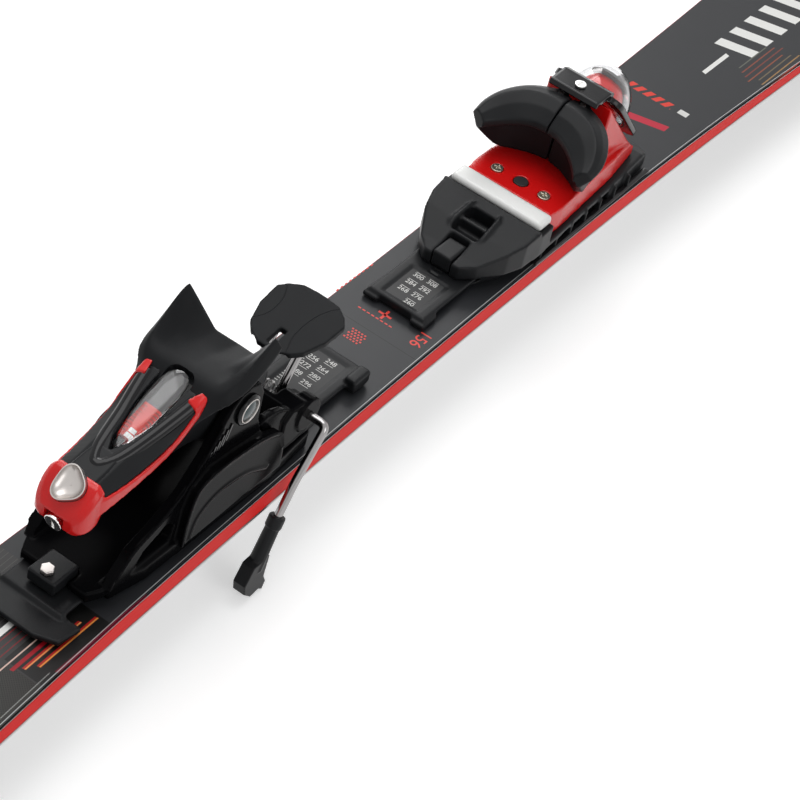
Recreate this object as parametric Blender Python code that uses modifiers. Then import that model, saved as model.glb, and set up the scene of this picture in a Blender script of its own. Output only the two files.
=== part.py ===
"""Carving ski with an alpine toe and heel binding, in metres, +Z up.

The origin is on the running base under the boot-centre mark, +X points to the tip
and +Y to the skier's left. Sizes below are in millimetres. Heights of binding pieces
are given above the deck and lifted by DECK when they are placed.
"""

import math

import bmesh
import bpy
from mathutils import Matrix, Vector

MM = 0.001
GAP = 0.3

# Ski
DECK = 14.0
TAIL_X = -700.0
TIP_X = 848.0
WAIST_HALF = 36.2
WAIST_X = 15.0
SIDECUT_RADIUS = 11900.0
SHOVEL_FLARE = 5.5
SHOVEL_X = 700.0
NOSE_LENGTH = 150.0
HEEL_OUT_X = -650.0
END_THICKNESS = 6.5
PLATEAU_FRONT = 230.0
PLATEAU_BACK = 260.0
CAMBER = 4.0
TIP_RISE = 55.0
TAIL_RISE = 9.0
EDGE_WIDTH = 2.0
EDGE_HEIGHT = 1.6
BASE_THICKNESS = 1.3
END_STEP = 2.0
SHEET_THICKNESS = 1.6
METAL_THICKNESS = 0.4
SIDEWALL_WIDTH = 6.0
EDGE_FRONT_X = 745.0
EDGE_BACK_X = -668.0
REAR_JOINT_X = -270.0
FRONT_JOINT_X = -10.5
DECK_BEVEL = 1.8

# Rails, the same section front and rear
RAIL_WEB_HALF = 15.0
RAIL_HALF = 20.0
RAIL_NECK = 3.3
RAIL_TOP = 6.6
FRONT_RAIL = (14.0, 215.0)
REAR_RAIL = (-310.0, -45.0)
RACK_PITCH = 4.0
SLIDE_GAP = 0.5

# Toe unit
TOE_PIN = (178.5, 8.0)
WING_CENTRE_X = 125.0
BODY_TOP = 30.0
HOUSING_FACE = (212.0, 51.0)
HOUSING_SLOPE = math.radians(48.4)
TOE_SPRING_Z = 19.6
TOE_SCREW = (138.0, 17.3)
TOE_LATCH_HINGE = (73.2, 16.5)

# Heel unit
JAW_PIVOT = (-184.0, 75.0)
BRAKE_AXLE = (-120.0, 29.0)
PEDAL_HINGE = (-100.0, 60.0)
PEDAL_TILT = math.radians(7.0)
SCREW_SLOPE = math.radians(14.5)
SCREW_TAIL = (-300.0, 54.0)
WINDOW_SLOPE = math.radians(20.0)
WINDOW_CENTRE = (-230.0, 0.0, 86.6)
HEEL_LATCH_HINGE = (-286.5, 14.0)
BRAKE_TRACK = 43.4
CRANK_HALF = 9.5
WIRE_RADIUS = 2.5

for stale in list(bpy.data.objects):
    bpy.data.objects.remove(stale, do_unlink=True)

PARTS = bpy.data.collections.new("carving_ski")
CUTTERS = bpy.data.collections.new("cutters")
for collection in (PARTS, CUTTERS):
    bpy.context.scene.collection.children.link(collection)


def finish(name, colour, roughness, metallic, transmission):
    """A Principled material of one plain colour."""
    material = bpy.data.materials.new(name)
    material.use_nodes = True
    shader = material.node_tree.nodes["Principled BSDF"]
    shader.inputs["Base Color"].default_value = (*colour, 1.0)
    shader.inputs["Roughness"].default_value = roughness
    shader.inputs["Metallic"].default_value = metallic
    shader.inputs["Transmission Weight"].default_value = transmission
    return material


# Each finish: colour, roughness, metallic value and transmission.
FINISHES = {
    "deck": ((0.045, 0.046, 0.05), 0.32, 0.0, 0.0),
    "red": ((0.78, 0.02, 0.015), 0.25, 0.0, 0.0),
    "sidewall": ((0.85, 0.05, 0.035), 0.4, 0.0, 0.0),
    "steel": ((0.5, 0.5, 0.52), 0.3, 1.0, 0.0),
    "sheet": ((0.6, 0.6, 0.62), 0.35, 1.0, 0.0),
    "wood": ((0.55, 0.38, 0.2), 0.6, 0.0, 0.0),
    "base": ((0.02, 0.02, 0.02), 0.45, 0.0, 0.0),
    "black": ((0.015, 0.015, 0.017), 0.4, 0.0, 0.0),
    "gloss": ((0.006, 0.006, 0.007), 0.12, 0.0, 0.0),
    "rubber": ((0.035, 0.035, 0.038), 0.6, 0.0, 0.0),
    "white": ((0.72, 0.73, 0.72), 0.35, 0.0, 0.0),
    "chrome": ((0.75, 0.75, 0.77), 0.12, 1.0, 0.0),
    "zinc": ((0.55, 0.52, 0.45), 0.35, 1.0, 0.0),
    "clear": ((0.9, 0.9, 0.92), 0.05, 0.0, 0.95),
}


def place(point):
    """A millimetre point above the deck, as metres in the ski's frame."""
    x, y, z = point
    return Vector((x, y, z + DECK)) * MM


def ski_point(point):
    """A millimetre point above the running base, in metres."""
    return Vector(point) * MM


def link(name, mesh, look=None, matrix=None):
    """Adds an object, as a part if it has a finish and as a cutter if it has none."""
    thing = bpy.data.objects.new(name, mesh)
    if matrix is not None:
        thing.matrix_world = matrix
    if look is None:
        CUTTERS.objects.link(thing)
        thing.hide_render = True
        thing.display_type = "WIRE"
    else:
        PARTS.objects.link(thing)
        mesh.materials.clear()
        mesh.materials.append(finish(f"{name}_{look}", *FINISHES[look]))
    return thing


def mesh_from(name, build):
    """A mesh filled in by a function that works on a bmesh."""
    work = bmesh.new()
    build(work)
    bmesh.ops.recalc_face_normals(work, faces=work.faces)
    mesh = bpy.data.meshes.new(name)
    work.to_mesh(mesh)
    work.free()
    return mesh


def box(name, low, high, look=None, bevel=0.0, tilt=0.0, about=None):
    """A box between two corners in mm above the deck, turned by tilt about Y at a point."""
    centre = [(a + b) / 2 for a, b in zip(low, high)]
    size = [(b - a) * MM for a, b in zip(low, high)]

    def build(work):
        bmesh.ops.create_cube(work, size=1.0, matrix=Matrix.Diagonal((*size, 1.0)))
        if bevel:
            bmesh.ops.bevel(work, geom=work.edges, offset=bevel * MM, segments=1, affect="EDGES")

    matrix = Matrix.Translation(place(centre))
    if tilt:
        pivot = Matrix.Translation(place(about or centre))
        matrix = pivot @ Matrix.Rotation(tilt, 4, "Y") @ pivot.inverted() @ matrix
    return link(name, mesh_from(name, build), look, matrix)


def rod(name, start, end, radius, look=None, sides=16, end_radius=None):
    """A cylinder or cone between two points in mm above the deck."""
    first, last = place(start), place(end)
    run = last - first
    tip = radius if end_radius is None else end_radius

    def build(work):
        bmesh.ops.create_cone(
            work, cap_ends=True, segments=sides, radius1=radius * MM, radius2=tip * MM, depth=run.length
        )

    turn = run.to_track_quat("Z", "Y").to_matrix().to_4x4()
    thing = link(name, mesh_from(name, build), look, Matrix.Translation((first + last) / 2) @ turn)
    smooth(thing)
    return thing


def smooth(thing, angle=35.0):
    """Shades a mesh smooth, with its sharp edges kept."""
    thing.data.shade_smooth()
    thing.data.set_sharp_from_angle(angle=math.radians(angle))


def to_mesh(thing, name, look, weld=0.00001):
    """Turns a curve object into a mesh object of the same place, with its caps welded."""
    bpy.context.view_layer.update()
    graph = bpy.context.evaluated_depsgraph_get()
    mesh = bpy.data.meshes.new_from_object(thing.evaluated_get(graph))
    matrix = thing.matrix_world.copy()
    curve = thing.data
    bpy.data.objects.remove(thing)
    bpy.data.curves.remove(curve)
    work = bmesh.new()
    work.from_mesh(mesh)
    bmesh.ops.remove_doubles(work, verts=work.verts, dist=weld)
    bmesh.ops.recalc_face_normals(work, faces=work.faces)
    work.to_mesh(mesh)
    work.free()
    return link(name, mesh, look, matrix)


# Directions in which a flat outline is thickened: the outline's own two axes come first.
FLAT = {
    "XY": Matrix.Identity(4),
    "XZ": Matrix(((1, 0, 0, 0), (0, 0, -1, 0), (0, 1, 0, 0), (0, 0, 0, 1))),
    "YZ": Matrix(((0, 0, 1, 0), (1, 0, 0, 0), (0, 1, 0, 0), (0, 0, 0, 1))),
}


def plate(name, outlines, plane, low, high, look=None):
    """A flat outline in mm, thickened from low to high along the axis that its plane leaves out.

    outlines is one list of points, or several, of which the later ones are holes.
    """
    if isinstance(outlines[0][0], (int, float)):
        outlines = [outlines]
    curve = bpy.data.curves.new(name, "CURVE")
    curve.dimensions = "2D"
    curve.fill_mode = "BOTH"
    curve.extrude = (high - low) / 2 * MM
    for outline in outlines:
        spline = curve.splines.new("POLY")
        spline.points.add(len(outline) - 1)
        for point, (u, v) in zip(spline.points, outline):
            point.co = (u * MM, v * MM, 0.0, 1.0)
        spline.use_cyclic_u = True
    thing = bpy.data.objects.new(name, curve)
    CUTTERS.objects.link(thing)
    middle = (low + high) / 2
    shift = {"XY": (0, 0, middle), "XZ": (0, middle, 0), "YZ": (middle, 0, 0)}[plane]
    thing.matrix_world = Matrix.Translation(place(shift)) @ FLAT[plane]
    return to_mesh(thing, name, look)


def mirrored(half):
    """A closed outline from its half on the positive side of the first axis."""
    return half + [(u, -v) for u, v in reversed(half)]


def loft(name, rings, look=None, ski=False, first_cap=None):
    """A closed skin over rings with the same number of points, capped at both ends.

    first_cap lists the first cap's panels by point, where one panel would fill a mouth.
    """
    put = ski_point if ski else place

    def build(work):
        rows = [[work.verts.new(put(point)) for point in ring] for ring in rings]
        count = len(rows[0])
        for row, following in zip(rows, rows[1:]):
            for i in range(count):
                j = (i + 1) % count
                work.faces.new((row[i], row[j], following[j], following[i]))
        panels = first_cap or [range(count)]
        caps = [work.faces.new([rows[0][i] for i in reversed(panel)]) for panel in panels]
        caps.append(work.faces.new(rows[-1]))
        bmesh.ops.triangulate(work, faces=caps, ngon_method="EAR_CLIP")

    return link(name, mesh_from(name, build), look)


def tube(name, points, radius, look=None, resolution=2):
    """A round tube along points in mm above the deck, with filled ends."""
    curve = bpy.data.curves.new(name, "CURVE")
    curve.dimensions = "3D"
    curve.bevel_depth = radius * MM
    curve.bevel_resolution = resolution
    curve.use_fill_caps = True
    spline = curve.splines.new("POLY")
    spline.points.add(len(points) - 1)
    for target, point in zip(spline.points, points):
        target.co = (*place(point), 1.0)
    thing = bpy.data.objects.new(name, curve)
    CUTTERS.objects.link(thing)
    made = to_mesh(thing, name, look)
    smooth(made)
    return made


def turned(name, profile, steps, matrix, look=None):
    """A profile of (radius, height) in mm from axis to axis, turned about Z and placed by a matrix."""
    mesh = bpy.data.meshes.new(name)
    points = [(radius * MM, 0.0, height * MM) for radius, height in profile]
    mesh.from_pydata(points, [(i, i + 1) for i in range(len(points) - 1)], [])
    thing = link(name, mesh, look, matrix)
    screw = thing.modifiers.new("Screw", "SCREW")
    screw.steps = steps
    screw.render_steps = steps
    screw.use_merge_vertices = True
    screw.merge_threshold = 0.00001
    screw.use_normal_calculate = True
    return thing


def boolean(thing, operation, others):
    """Adds Boolean modifiers to a mesh object, one for each helper."""
    for other in others:
        modifier = thing.modifiers.new(operation.title(), "BOOLEAN")
        modifier.operation = operation
        modifier.solver = "EXACT"
        modifier.object = other
    return thing


def cut(thing, *others):
    """Cuts helpers out of a mesh object."""
    return boolean(thing, "DIFFERENCE", others)


def join(thing, *others):
    """Joins helpers to a mesh object."""
    return boolean(thing, "UNION", others)


def ease(share):
    """A smooth step from 0 to 1 over a share that is held between them."""
    held = min(max(share, 0.0), 1.0)
    return held * held * (3.0 - 2.0 * held)


def half_width(x):
    """Half the ski's width at the running base."""
    ahead = min(x, SHOVEL_X)
    half = WAIST_HALF + (ahead - WAIST_X) ** 2 / (2 * SIDECUT_RADIUS)
    half += SHOVEL_FLARE * (max(ahead - WAIST_X, 0.0) / (SHOVEL_X - WAIST_X)) ** 4
    if x > SHOVEL_X:
        return half * math.sqrt(max(1.0 - ((x - SHOVEL_X) / NOSE_LENGTH) ** 2, 0.0))
    if x < HEEL_OUT_X:
        share = (HEEL_OUT_X - x) / (HEEL_OUT_X - TAIL_X)
        return half * (1.0 - 0.28 * share**2)
    return half


def base_height(x):
    """Height of the running base, with camber, tip rise and tail rise."""
    height = -CAMBER * ease((abs(x) - 200.0) / 450.0)
    height += TIP_RISE * max((x - 640.0) / 210.0, 0.0) ** 2
    return height + TAIL_RISE * max((-620.0 - x) / 80.0, 0.0) ** 2


def deck_height(x):
    """Height of the deck above the origin."""
    flat = PLATEAU_FRONT if x > 0 else PLATEAU_BACK
    thin = ease((abs(x) - flat) / (640.0 - flat))
    return base_height(x) + DECK - (DECK - END_THICKNESS) * thin


def stations(first, last, step=60.0):
    """Even stations along the ski, closer together at the nose and the tail."""
    found = [first]
    while found[-1] < last - 0.1:
        x = found[-1]
        near_end = x > SHOVEL_X - step or x < HEEL_OUT_X
        found.append(min(x + (step / 4 if near_end else step), last))
    return found


def strip(name, xs, section, look):
    """A layer of the ski: section(x) gives its corner points (y, z) at one station."""
    return loft(name, [[(x, y, z) for y, z in section(x)] for x in xs], look, ski=True)


def flat_layer(inset, low, high):
    """Section of a layer across the ski, between two height functions."""

    def section(x):
        half = half_width(x) - inset
        return [(-half, low(x)), (half, low(x)), (half, high(x)), (-half, high(x))]

    return section


def wood_low(x):
    return base_height(x) + BASE_THICKNESS + GAP


def sidewall_top(x):
    return deck_height(x) - SHEET_THICKNESS - METAL_THICKNESS - 2 * GAP


def lengthwise(name, xs, section, look):
    """A layer in three lengths, one object each, which keep to the side-cut beside the brake."""
    ends = {
        "rear": (xs[0], REAR_JOINT_X - GAP / 2),
        "middle": (REAR_JOINT_X + GAP / 2, FRONT_JOINT_X - GAP / 2),
        "front": (FRONT_JOINT_X + GAP / 2, xs[-1]),
    }
    for part, (low, high) in ends.items():
        inner = [x for x in xs if low < x < high]
        strip(f"{name}_{part}", [low, *inner, high], section, look)


def build_ski():
    """The layers of the ski, from the running base to the printed deck."""
    whole = stations(TAIL_X, TIP_X)
    edged = stations(EDGE_BACK_X, EDGE_FRONT_X)

    def base_section(x):
        inset = EDGE_WIDTH + GAP if EDGE_BACK_X <= x <= EDGE_FRONT_X else 0.0
        return flat_layer(inset, base_height, lambda at: base_height(at) + BASE_THICKNESS)(x)

    ends = [EDGE_BACK_X - END_STEP, EDGE_FRONT_X + END_STEP]
    beyond = [x for x in whole if not ends[0] < x < ends[1]]
    lengthwise("base_sheet", sorted(set(edged + ends + beyond)), base_section, "base")

    def top_section(x):
        half, high = half_width(x), deck_height(x)
        low = high - SHEET_THICKNESS
        wide, flat = half - 1.5, half - 1.5 - DECK_BEVEL
        flat = max(flat, wide * 0.4)
        return [(-wide, low), (wide, low), (flat, high), (-flat, high)]

    lengthwise("top_sheet", whole, top_section, "deck")
    strip(
        "metal_sheet",
        edged,
        flat_layer(1.5, lambda x: sidewall_top(x) + GAP, lambda x: sidewall_top(x) + GAP + METAL_THICKNESS),
        "sheet",
    )
    strip("wood_core", edged, flat_layer(SIDEWALL_WIDTH + 0.6 + GAP, wood_low, sidewall_top), "wood")
    for side, sign in (("left", 1.0), ("right", -1.0)):

        def edge_section(x, sign=sign):
            outer, low = half_width(x), base_height(x)
            inner, high = outer - EDGE_WIDTH, low + EDGE_HEIGHT
            return [(sign * inner, low), (sign * outer, low), (sign * outer, high), (sign * inner, high)]

        def wall_section(x, sign=sign):
            outer, low, high = half_width(x), base_height(x) + EDGE_HEIGHT + GAP, sidewall_top(x)
            inner = outer - SIDEWALL_WIDTH - 0.6
            return [
                (sign * inner, low),
                (sign * (outer - 0.2), low),
                (sign * (outer - 1.3), high),
                (sign * inner, high),
            ]

        strip(f"edge_{side}", edged, edge_section, "steel")
        lengthwise(f"sidewall_{side}", edged, wall_section, "sidewall")
    between = flat_layer(0.4, wood_low, lambda x: deck_height(x) - SHEET_THICKNESS - GAP)
    strip("tip_spacer", stations(EDGE_FRONT_X + 0.6, TIP_X - 2.0), between, "base")
    strip("tail_guard", stations(TAIL_X + 0.5, EDGE_BACK_X - 0.6), between, "base")


def cross_slot(screw, spot, floor, reach):
    """Cuts a cross into an upright screw's head, down to a floor height above the deck."""
    x, y = spot
    top = floor + 3.0
    cut(screw, box(f"{screw.name}_slot_a", (x - reach, y - 0.5, floor), (x + reach, y + 0.5, top)))
    cut(screw, box(f"{screw.name}_slot_b", (x - 0.5, y - reach, floor), (x + 0.5, y + reach, top)))


def rail_section():
    """The T-shaped section of a rail, as (height above the deck, y), with a drafted flange."""
    web = [(GAP, RAIL_WEB_HALF), (RAIL_NECK, RAIL_WEB_HALF)]
    return mirrored(web + [(RAIL_NECK + 0.2, RAIL_HALF), (RAIL_TOP, RAIL_HALF)])


def build_rail(name, rail, rack_from, rack_teeth, scale):
    """A rail with a rack of notches and a sunk scale."""
    outline = [(y, z) for z, y in rail_section()]
    body = plate(name, outline, "YZ", rail[0], rail[1], "black")
    tooth = box(f"{name}_tooth", (rack_from, -3.5, 5.2), (rack_from + 2.4, 3.5, 9.0))
    rows = tooth.modifiers.new("Array", "ARRAY")
    rows.count = rack_teeth
    rows.use_relative_offset = False
    rows.use_constant_offset = True
    rows.constant_offset_displace = (RACK_PITCH * MM, 0.0, 0.0)
    cut(body, tooth)
    cut(body, box(f"{name}_scale", (scale[0], -13.5, 6.0), (scale[1], 13.5, 9.0)))
    return body


def build_rails():
    """The front rail under the toe unit and the rear rail under the heel unit."""
    front = build_rail("front_rail", FRONT_RAIL, 24.0, 10, (17.0, 50.0))
    foot = [(11.0, 22.0), (26.0, 22.0), (26.0, -22.0), (11.0, -22.0)]
    foot += [(11.0, -12.0), (15.5, -12.0), (15.5, 12.0), (11.0, 12.0)]
    join(front, plate("front_rail_foot", foot, "XY", 0.5, 4.2))
    rear = build_rail("rear_rail", REAR_RAIL, -140.0, 10, (-98.0, -50.0))
    for sign in (1.0, -1.0):
        near, far = sorted((sign * 17.5, sign * 25.5))
        clip = box(f"rear_rail_clip_{sign:.0f}", (-63.0, near, 2.0), (-47.0, far, 10.5), bevel=1.0)
        join(rear, clip)
        foot = box(f"rear_rail_clip_foot_{sign:.0f}", (-61.0, near + 0.4, 0.5), (-49.0, far - 0.4, 3.0))
        join(rear, foot)
    wings = mirrored([(-327.0, 16.0), (-322.0, 29.0), (-306.5, 31.0), (-306.5, 12.0)])
    join(rear, plate("rear_rail_tail", wings, "XY", 0.5, 4.2))


def channel(name, first, last):
    """Cutters that leave running clearance round a rail."""
    wide, narrow = RAIL_HALF + SLIDE_GAP, RAIL_WEB_HALF + SLIDE_GAP
    low, high = RAIL_NECK - SLIDE_GAP, RAIL_TOP + SLIDE_GAP
    return (
        box(f"{name}_flange_way", (first, -wide, low), (last, wide, high)),
        box(f"{name}_web_way", (first, -narrow, -2.0), (last, narrow, RAIL_NECK)),
    )


def coil(name, start, end, radius, wire, turns, look):
    """A compression spring between two points, as one tube. It prints its least gap."""
    first, last = Vector(start), Vector(end)
    along = (last - first).normalized()
    side = along.cross(Vector((0.0, 1.0, 0.0)))
    if side.length < 0.1:
        side = along.cross(Vector((0.0, 0.0, 1.0)))
    side.normalize()
    other = along.cross(side)
    length = (last - first).length
    steps = turns * 9
    points = []
    for i in range(steps + 1):
        angle = 2 * math.pi * turns * i / steps
        centre = first + along * (length * i / steps)
        points.append(centre + side * (radius * math.cos(angle)) + other * (radius * math.sin(angle)))
    gap = min((points[i] - points[i + 9]).length for i in range(steps - 8)) - 2 * wire
    print(f"{name}: least gap between turns {gap:.2f} mm")
    return tube(name, points, wire, look, resolution=1)


def slope_matrix(centre, angle):
    """A frame whose X runs down a slope in the XZ plane and whose Z stands off it."""
    return Matrix.Translation(place((centre[0], 0.0, centre[1]))) @ Matrix.Rotation(angle, 4, "Y")


def build_toe_plate():
    """The flared black plate that rides on the front rail and carries the toe unit."""
    plan = mirrored(
        [(57.0, 12.0), (65.0, 21.0), (82.0, 31.0), (95.0, 35.0), (112.0, 36.0)]
        + [(150.0, 34.5), (190.0, 33.0), (225.0, 31.5), (248.0, 30.0), (253.0, 22.0)]
    )
    profile = [(57.0, 0.6), (57.0, 16.5), (66.0, 18.0), (84.0, 24.5), (109.4, 29.0), (109.4, 25.6)]
    profile += [(124.6, 25.6), (124.6, 12.0), (243.0, 12.0), (253.0, 9.0), (253.0, 0.6)]
    body = plate("toe_plate", plan, "XY", 0.6, 31.0, "black")
    boolean(body, "INTERSECT", [plate("toe_plate_profile", profile, "XZ", -45.0, 45.0)])
    for helper in channel("toe", 50.0, 260.0):
        cut(body, helper)
    cut(body, box("toe_latch_well", (50.0, -6.9, 6.0), (76.8, 6.9, 40.0)))
    pocket = [(79.0, -12.0), (100.0, -8.0), (100.0, 8.0), (79.0, 12.0)]
    cut(body, plate("toe_plate_pocket", pocket, "XY", 17.0, 40.0))
    for side, sign in (("left", 1.0), ("right", -1.0)):
        under = [(40.0, 16.0), (60.0, 16.0), (84.0, 26.5), (200.0, 28.0), (200.0, 45.0), (40.0, 45.0)]
        cut(body, plate(f"toe_plate_under_{side}", [(x, sign * y) for x, y in under], "XY", -2.0, 8.0))
    join(body, box("toe_plate_bar", (88.0, -13.0, 14.0), (91.0, 13.0, 24.5)))
    for sign in (1.0, -1.0):
        x, y = TOE_SCREW[0], sign * TOE_SCREW[1]
        cut(body, rod(f"toe_plate_hole_{sign:.0f}", (x, y, 7.3), (x, y, 20.0), 2.4, sides=10))
    box("afd_bar", (110.0, -33.2, 26.0), (124.2, 33.2, 32.0), "white", bevel=1.5)


def build_toe_body():
    """The red body with its tower, spring bore and indicator well."""
    plan = [(125.0, 30.5), (138.0, 32.0), (165.0, 30.5), (205.0, 28.5), (238.0, 24.0), (243.0, 16.0)]
    body = plate("toe_body", mirrored(plan), "XY", 12.3, BODY_TOP, "red")
    ramp = [(120.0, 12.0), (120.0, BODY_TOP), (190.0, BODY_TOP), (212.0, 29.0), (230.0, 25.0), (246.0, 12.0)]
    boolean(body, "INTERSECT", [plate("toe_body_ramp", ramp, "XZ", -40.0, 40.0)])
    tower = [(188.0, 20.0), (188.0, 73.0), (236.5, 18.8)]
    join(body, plate("toe_tower", tower, "XZ", -23.0, 23.0))
    cut(body, rod("toe_spring_bore", (193.0, 0.0, TOE_SPRING_Z), (250.0, 0.0, TOE_SPRING_Z), 6.6))
    cut(body, box("toe_piston_way", (186.0, -5.0, 13.6), (198.0, 5.0, 62.0)))
    well = box("indicator_well", (-24.0, -17.0, -14.0), (24.0, 17.0, 4.0))
    well.matrix_world = slope_matrix(HOUSING_FACE, HOUSING_SLOPE) @ Matrix.Translation((0.0, 0.0, -0.006))
    cut(body, well)
    for name, sign in (("left", 1.0), ("right", -1.0)):
        x, y = TOE_SCREW[0], sign * TOE_SCREW[1]
        cut(body, rod(f"toe_screw_sink_{name}", (x, y, 28.0), (x, y, 35.0), 4.3))
        cut(body, rod(f"toe_screw_hole_{name}", (x, y, 5.0), (x, y, 30.0), 2.4, sides=10))
        screw = rod(f"toe_screw_{name}", (x, y, 28.3), (x, y, 30.4), 3.9, "zinc")
        join(screw, rod(f"toe_screw_shank_{name}", (x, y, 10.0), (x, y, 28.6), 2.0, sides=10))
        cross_slot(screw, (x, y), 29.3, 2.4)
    cut(body, rod("toe_plug_sink", (138.6, 0.0, 26.5), (138.6, 0.0, 35.0), 5.0))
    rod("toe_plug", (138.6, 0.0, 26.8), (138.6, 0.0, 30.2), 4.7, "black")
    for name, y in (("left", TOE_PIN[1]), ("right", -TOE_PIN[1])):
        cut(body, rod(f"pin_seat_{name}", (TOE_PIN[0], y, 22.0), (TOE_PIN[0], y, 40.0), 2.2, sides=12))
        rod(f"wing_pin_{name}", (TOE_PIN[0], y, 22.3), (TOE_PIN[0], y, 73.6), 1.9, "steel", sides=12)


WING_ANGLES = (0.0, 14.0, 30.0, 46.0, 60.0, 72.0)
WING_OUTER = (55.5, 57.5, 57.5, 54.0, 50.0, 45.5)
WING_CREST = (44.0, 45.0, 46.0, 45.0, 43.5, 42.0)
WING_LIP = (30.0, 30.0, 30.0, 31.0, 32.5, 34.5)
WING_WALL = (42.0, 41.0, 40.0, 39.0, 37.5, 36.5)
WING_FOOT = (50.0, 48.0, 46.5, 45.0, 42.0, 40.0)
WING_CREST_Z = (74.0, 74.0, 73.0, 70.0, 65.5, 61.5)
WING_OUTER_Z = (72.0, 71.5, 68.0, 64.5, 60.5, 57.0)
WING_LIP_Z = (63.0, 63.0, 62.0, 60.0, 58.5, 57.5)
WING_FOOT_Z = (30.8, 30.8, 30.8, 33.0, 41.5, 50.0)


def build_wing(side, sign):
    """One toe wing: a hooked shell swept round the boot's toe, turning on its pin."""
    rings = []
    for i, degrees in enumerate(WING_ANGLES):
        angle = math.radians(degrees)
        lip, foot_z = WING_LIP_Z[i], WING_FOOT_Z[i]
        section = [
            (WING_LIP[i], lip - 5.0),
            (WING_LIP[i], lip),
            (WING_CREST[i], WING_CREST_Z[i]),
            (WING_OUTER[i], WING_OUTER_Z[i]),
            (WING_FOOT[i], foot_z),
            (WING_WALL[i], foot_z),
            (WING_WALL[i] + 0.6, lip - 6.4),
        ]
        ring = []
        for radius, z in section:
            x = WING_CENTRE_X + radius * math.cos(angle)
            ring.append((x, sign * (0.5 + radius * math.sin(angle)), z))
        rings.append(ring)
    wing = loft(f"toe_wing_{side}", rings, "black")
    x, y = TOE_PIN[0], sign * TOE_PIN[1]
    join(wing, rod(f"wing_hub_{side}", (x, y, 31.0), (x, y, 72.5), 5.2, sides=14))
    cut(wing, rod(f"wing_bore_{side}", (x, y, 20.0), (x, y, 90.0), 2.25, sides=12))
    smooth(wing)
    return wing


def build_toe_top():
    """Bezel, clear dome, spring, piston, setting screw and indicator of the toe unit."""
    face = slope_matrix(HOUSING_FACE, HOUSING_SLOPE)
    outer, hole = rounded(31.5, 25.0, 9.0, 4), ellipse(29.4, 21.4, 24)
    bezel = plate("toe_bezel", [outer, hole], "XY", 0.0, 4.0, "gloss")
    bezel.matrix_world = face @ Matrix.Translation((0.0025, 0.0, 0.0028))
    brow = [(176.5, 75.6), (189.5, 75.4), (195.0, 71.9), (197.3, 74.5), (199.0, 77.0)]
    brow += [(194.0, 79.2), (178.0, 79.2)]
    join(bezel, plate("bezel_brow", brow, "XZ", -17.5, 17.5))
    cut(bezel, rod("bezel_screw_hole", (185.0, 0.0, 70.0), (185.0, 0.0, 85.0), 1.8, sides=12))
    screw = rod("bezel_screw", (185.0, 0.0, 79.5), (185.0, 0.0, 81.2), 3.6, "chrome")
    join(screw, rod("bezel_screw_shank", (185.0, 0.0, 75.8), (185.0, 0.0, 79.8), 1.5, sides=12))
    cut(screw, box("bezel_screw_slot", (182.6, -0.5, 80.4), (187.4, 0.5, 83.0)))
    profile = []
    wall, rise, quarter = 0.06, 0.075, 8
    for i in range(quarter + 1):
        angle = math.radians(90.0 * i / quarter)
        profile.append((math.sin(angle), math.cos(angle)))
    for i in range(quarter, -1, -1):
        angle = math.radians(90.0 * i / quarter)
        profile.append(((1 - wall) * math.sin(angle), (1 - rise) * math.cos(angle)))
    dome = face @ Matrix.Translation((0.0025, 0.0, 0.0008)) @ Matrix.Diagonal((29.0, 21.0, 27.0, 1.0))
    turned("toe_window", profile, 28, dome, "clear")
    coil("toe_spring", (200.0, 0.0, TOE_SPRING_Z), (226.0, 0.0, TOE_SPRING_Z), 4.8, 1.0, 6, "steel")
    piston = rod("toe_piston", (193.4, 0.0, TOE_SPRING_Z), (197.6, 0.0, TOE_SPRING_Z), 6.2, "steel")
    join(piston, box("toe_piston_riser", (188.4, -4.6, 15.0), (194.0, 4.6, 60.0)))
    head = rod("toe_setting_screw", (236.4, 0.0, TOE_SPRING_Z), (241.5, 0.0, TOE_SPRING_Z), 5.2, "zinc")
    join(head, rod("toe_setting_shank", (228.6, 0.0, TOE_SPRING_Z), (237.0, 0.0, TOE_SPRING_Z), 4.6))
    cut(head, box("toe_setting_slot", (239.9, -4.0, TOE_SPRING_Z - 0.7), (243.0, 4.0, TOE_SPRING_Z + 0.7)))
    mark = box("toe_indicator", (-9.0, -8.0, -0.5), (9.0, 8.0, 6.5), "red", bevel=0.8)
    mark.matrix_world = face @ Matrix.Translation((0.0, 0.0, -0.005))
    latch = box("toe_latch", (57.2, -6.5, 8.0), (75.0, 6.5, 18.8), "black", bevel=0.8)
    join(latch, box("toe_latch_pawl", (59.4, -3.0, RAIL_TOP + GAP), (61.6, 3.0, 9.5)))


def ellipse(a, b, count):
    """Points of an ellipse, counter-clockwise."""
    turn = 2 * math.pi / count
    return [(a * math.cos(turn * i), b * math.sin(turn * i)) for i in range(count)]


def rounded(a, b, radius, count):
    """A rectangle of half sides a and b with round corners of count steps."""
    points = []
    for quarter, (sx, sy) in enumerate(((1, 1), (-1, 1), (-1, -1), (1, -1))):
        for i in range(count + 1):
            angle = math.pi / 2 * (quarter + i / count)
            u = sx * (a - radius) + radius * math.cos(angle)
            v = sy * (b - radius) + radius * math.sin(angle)
            points.append((u, v))
    return points


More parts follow.
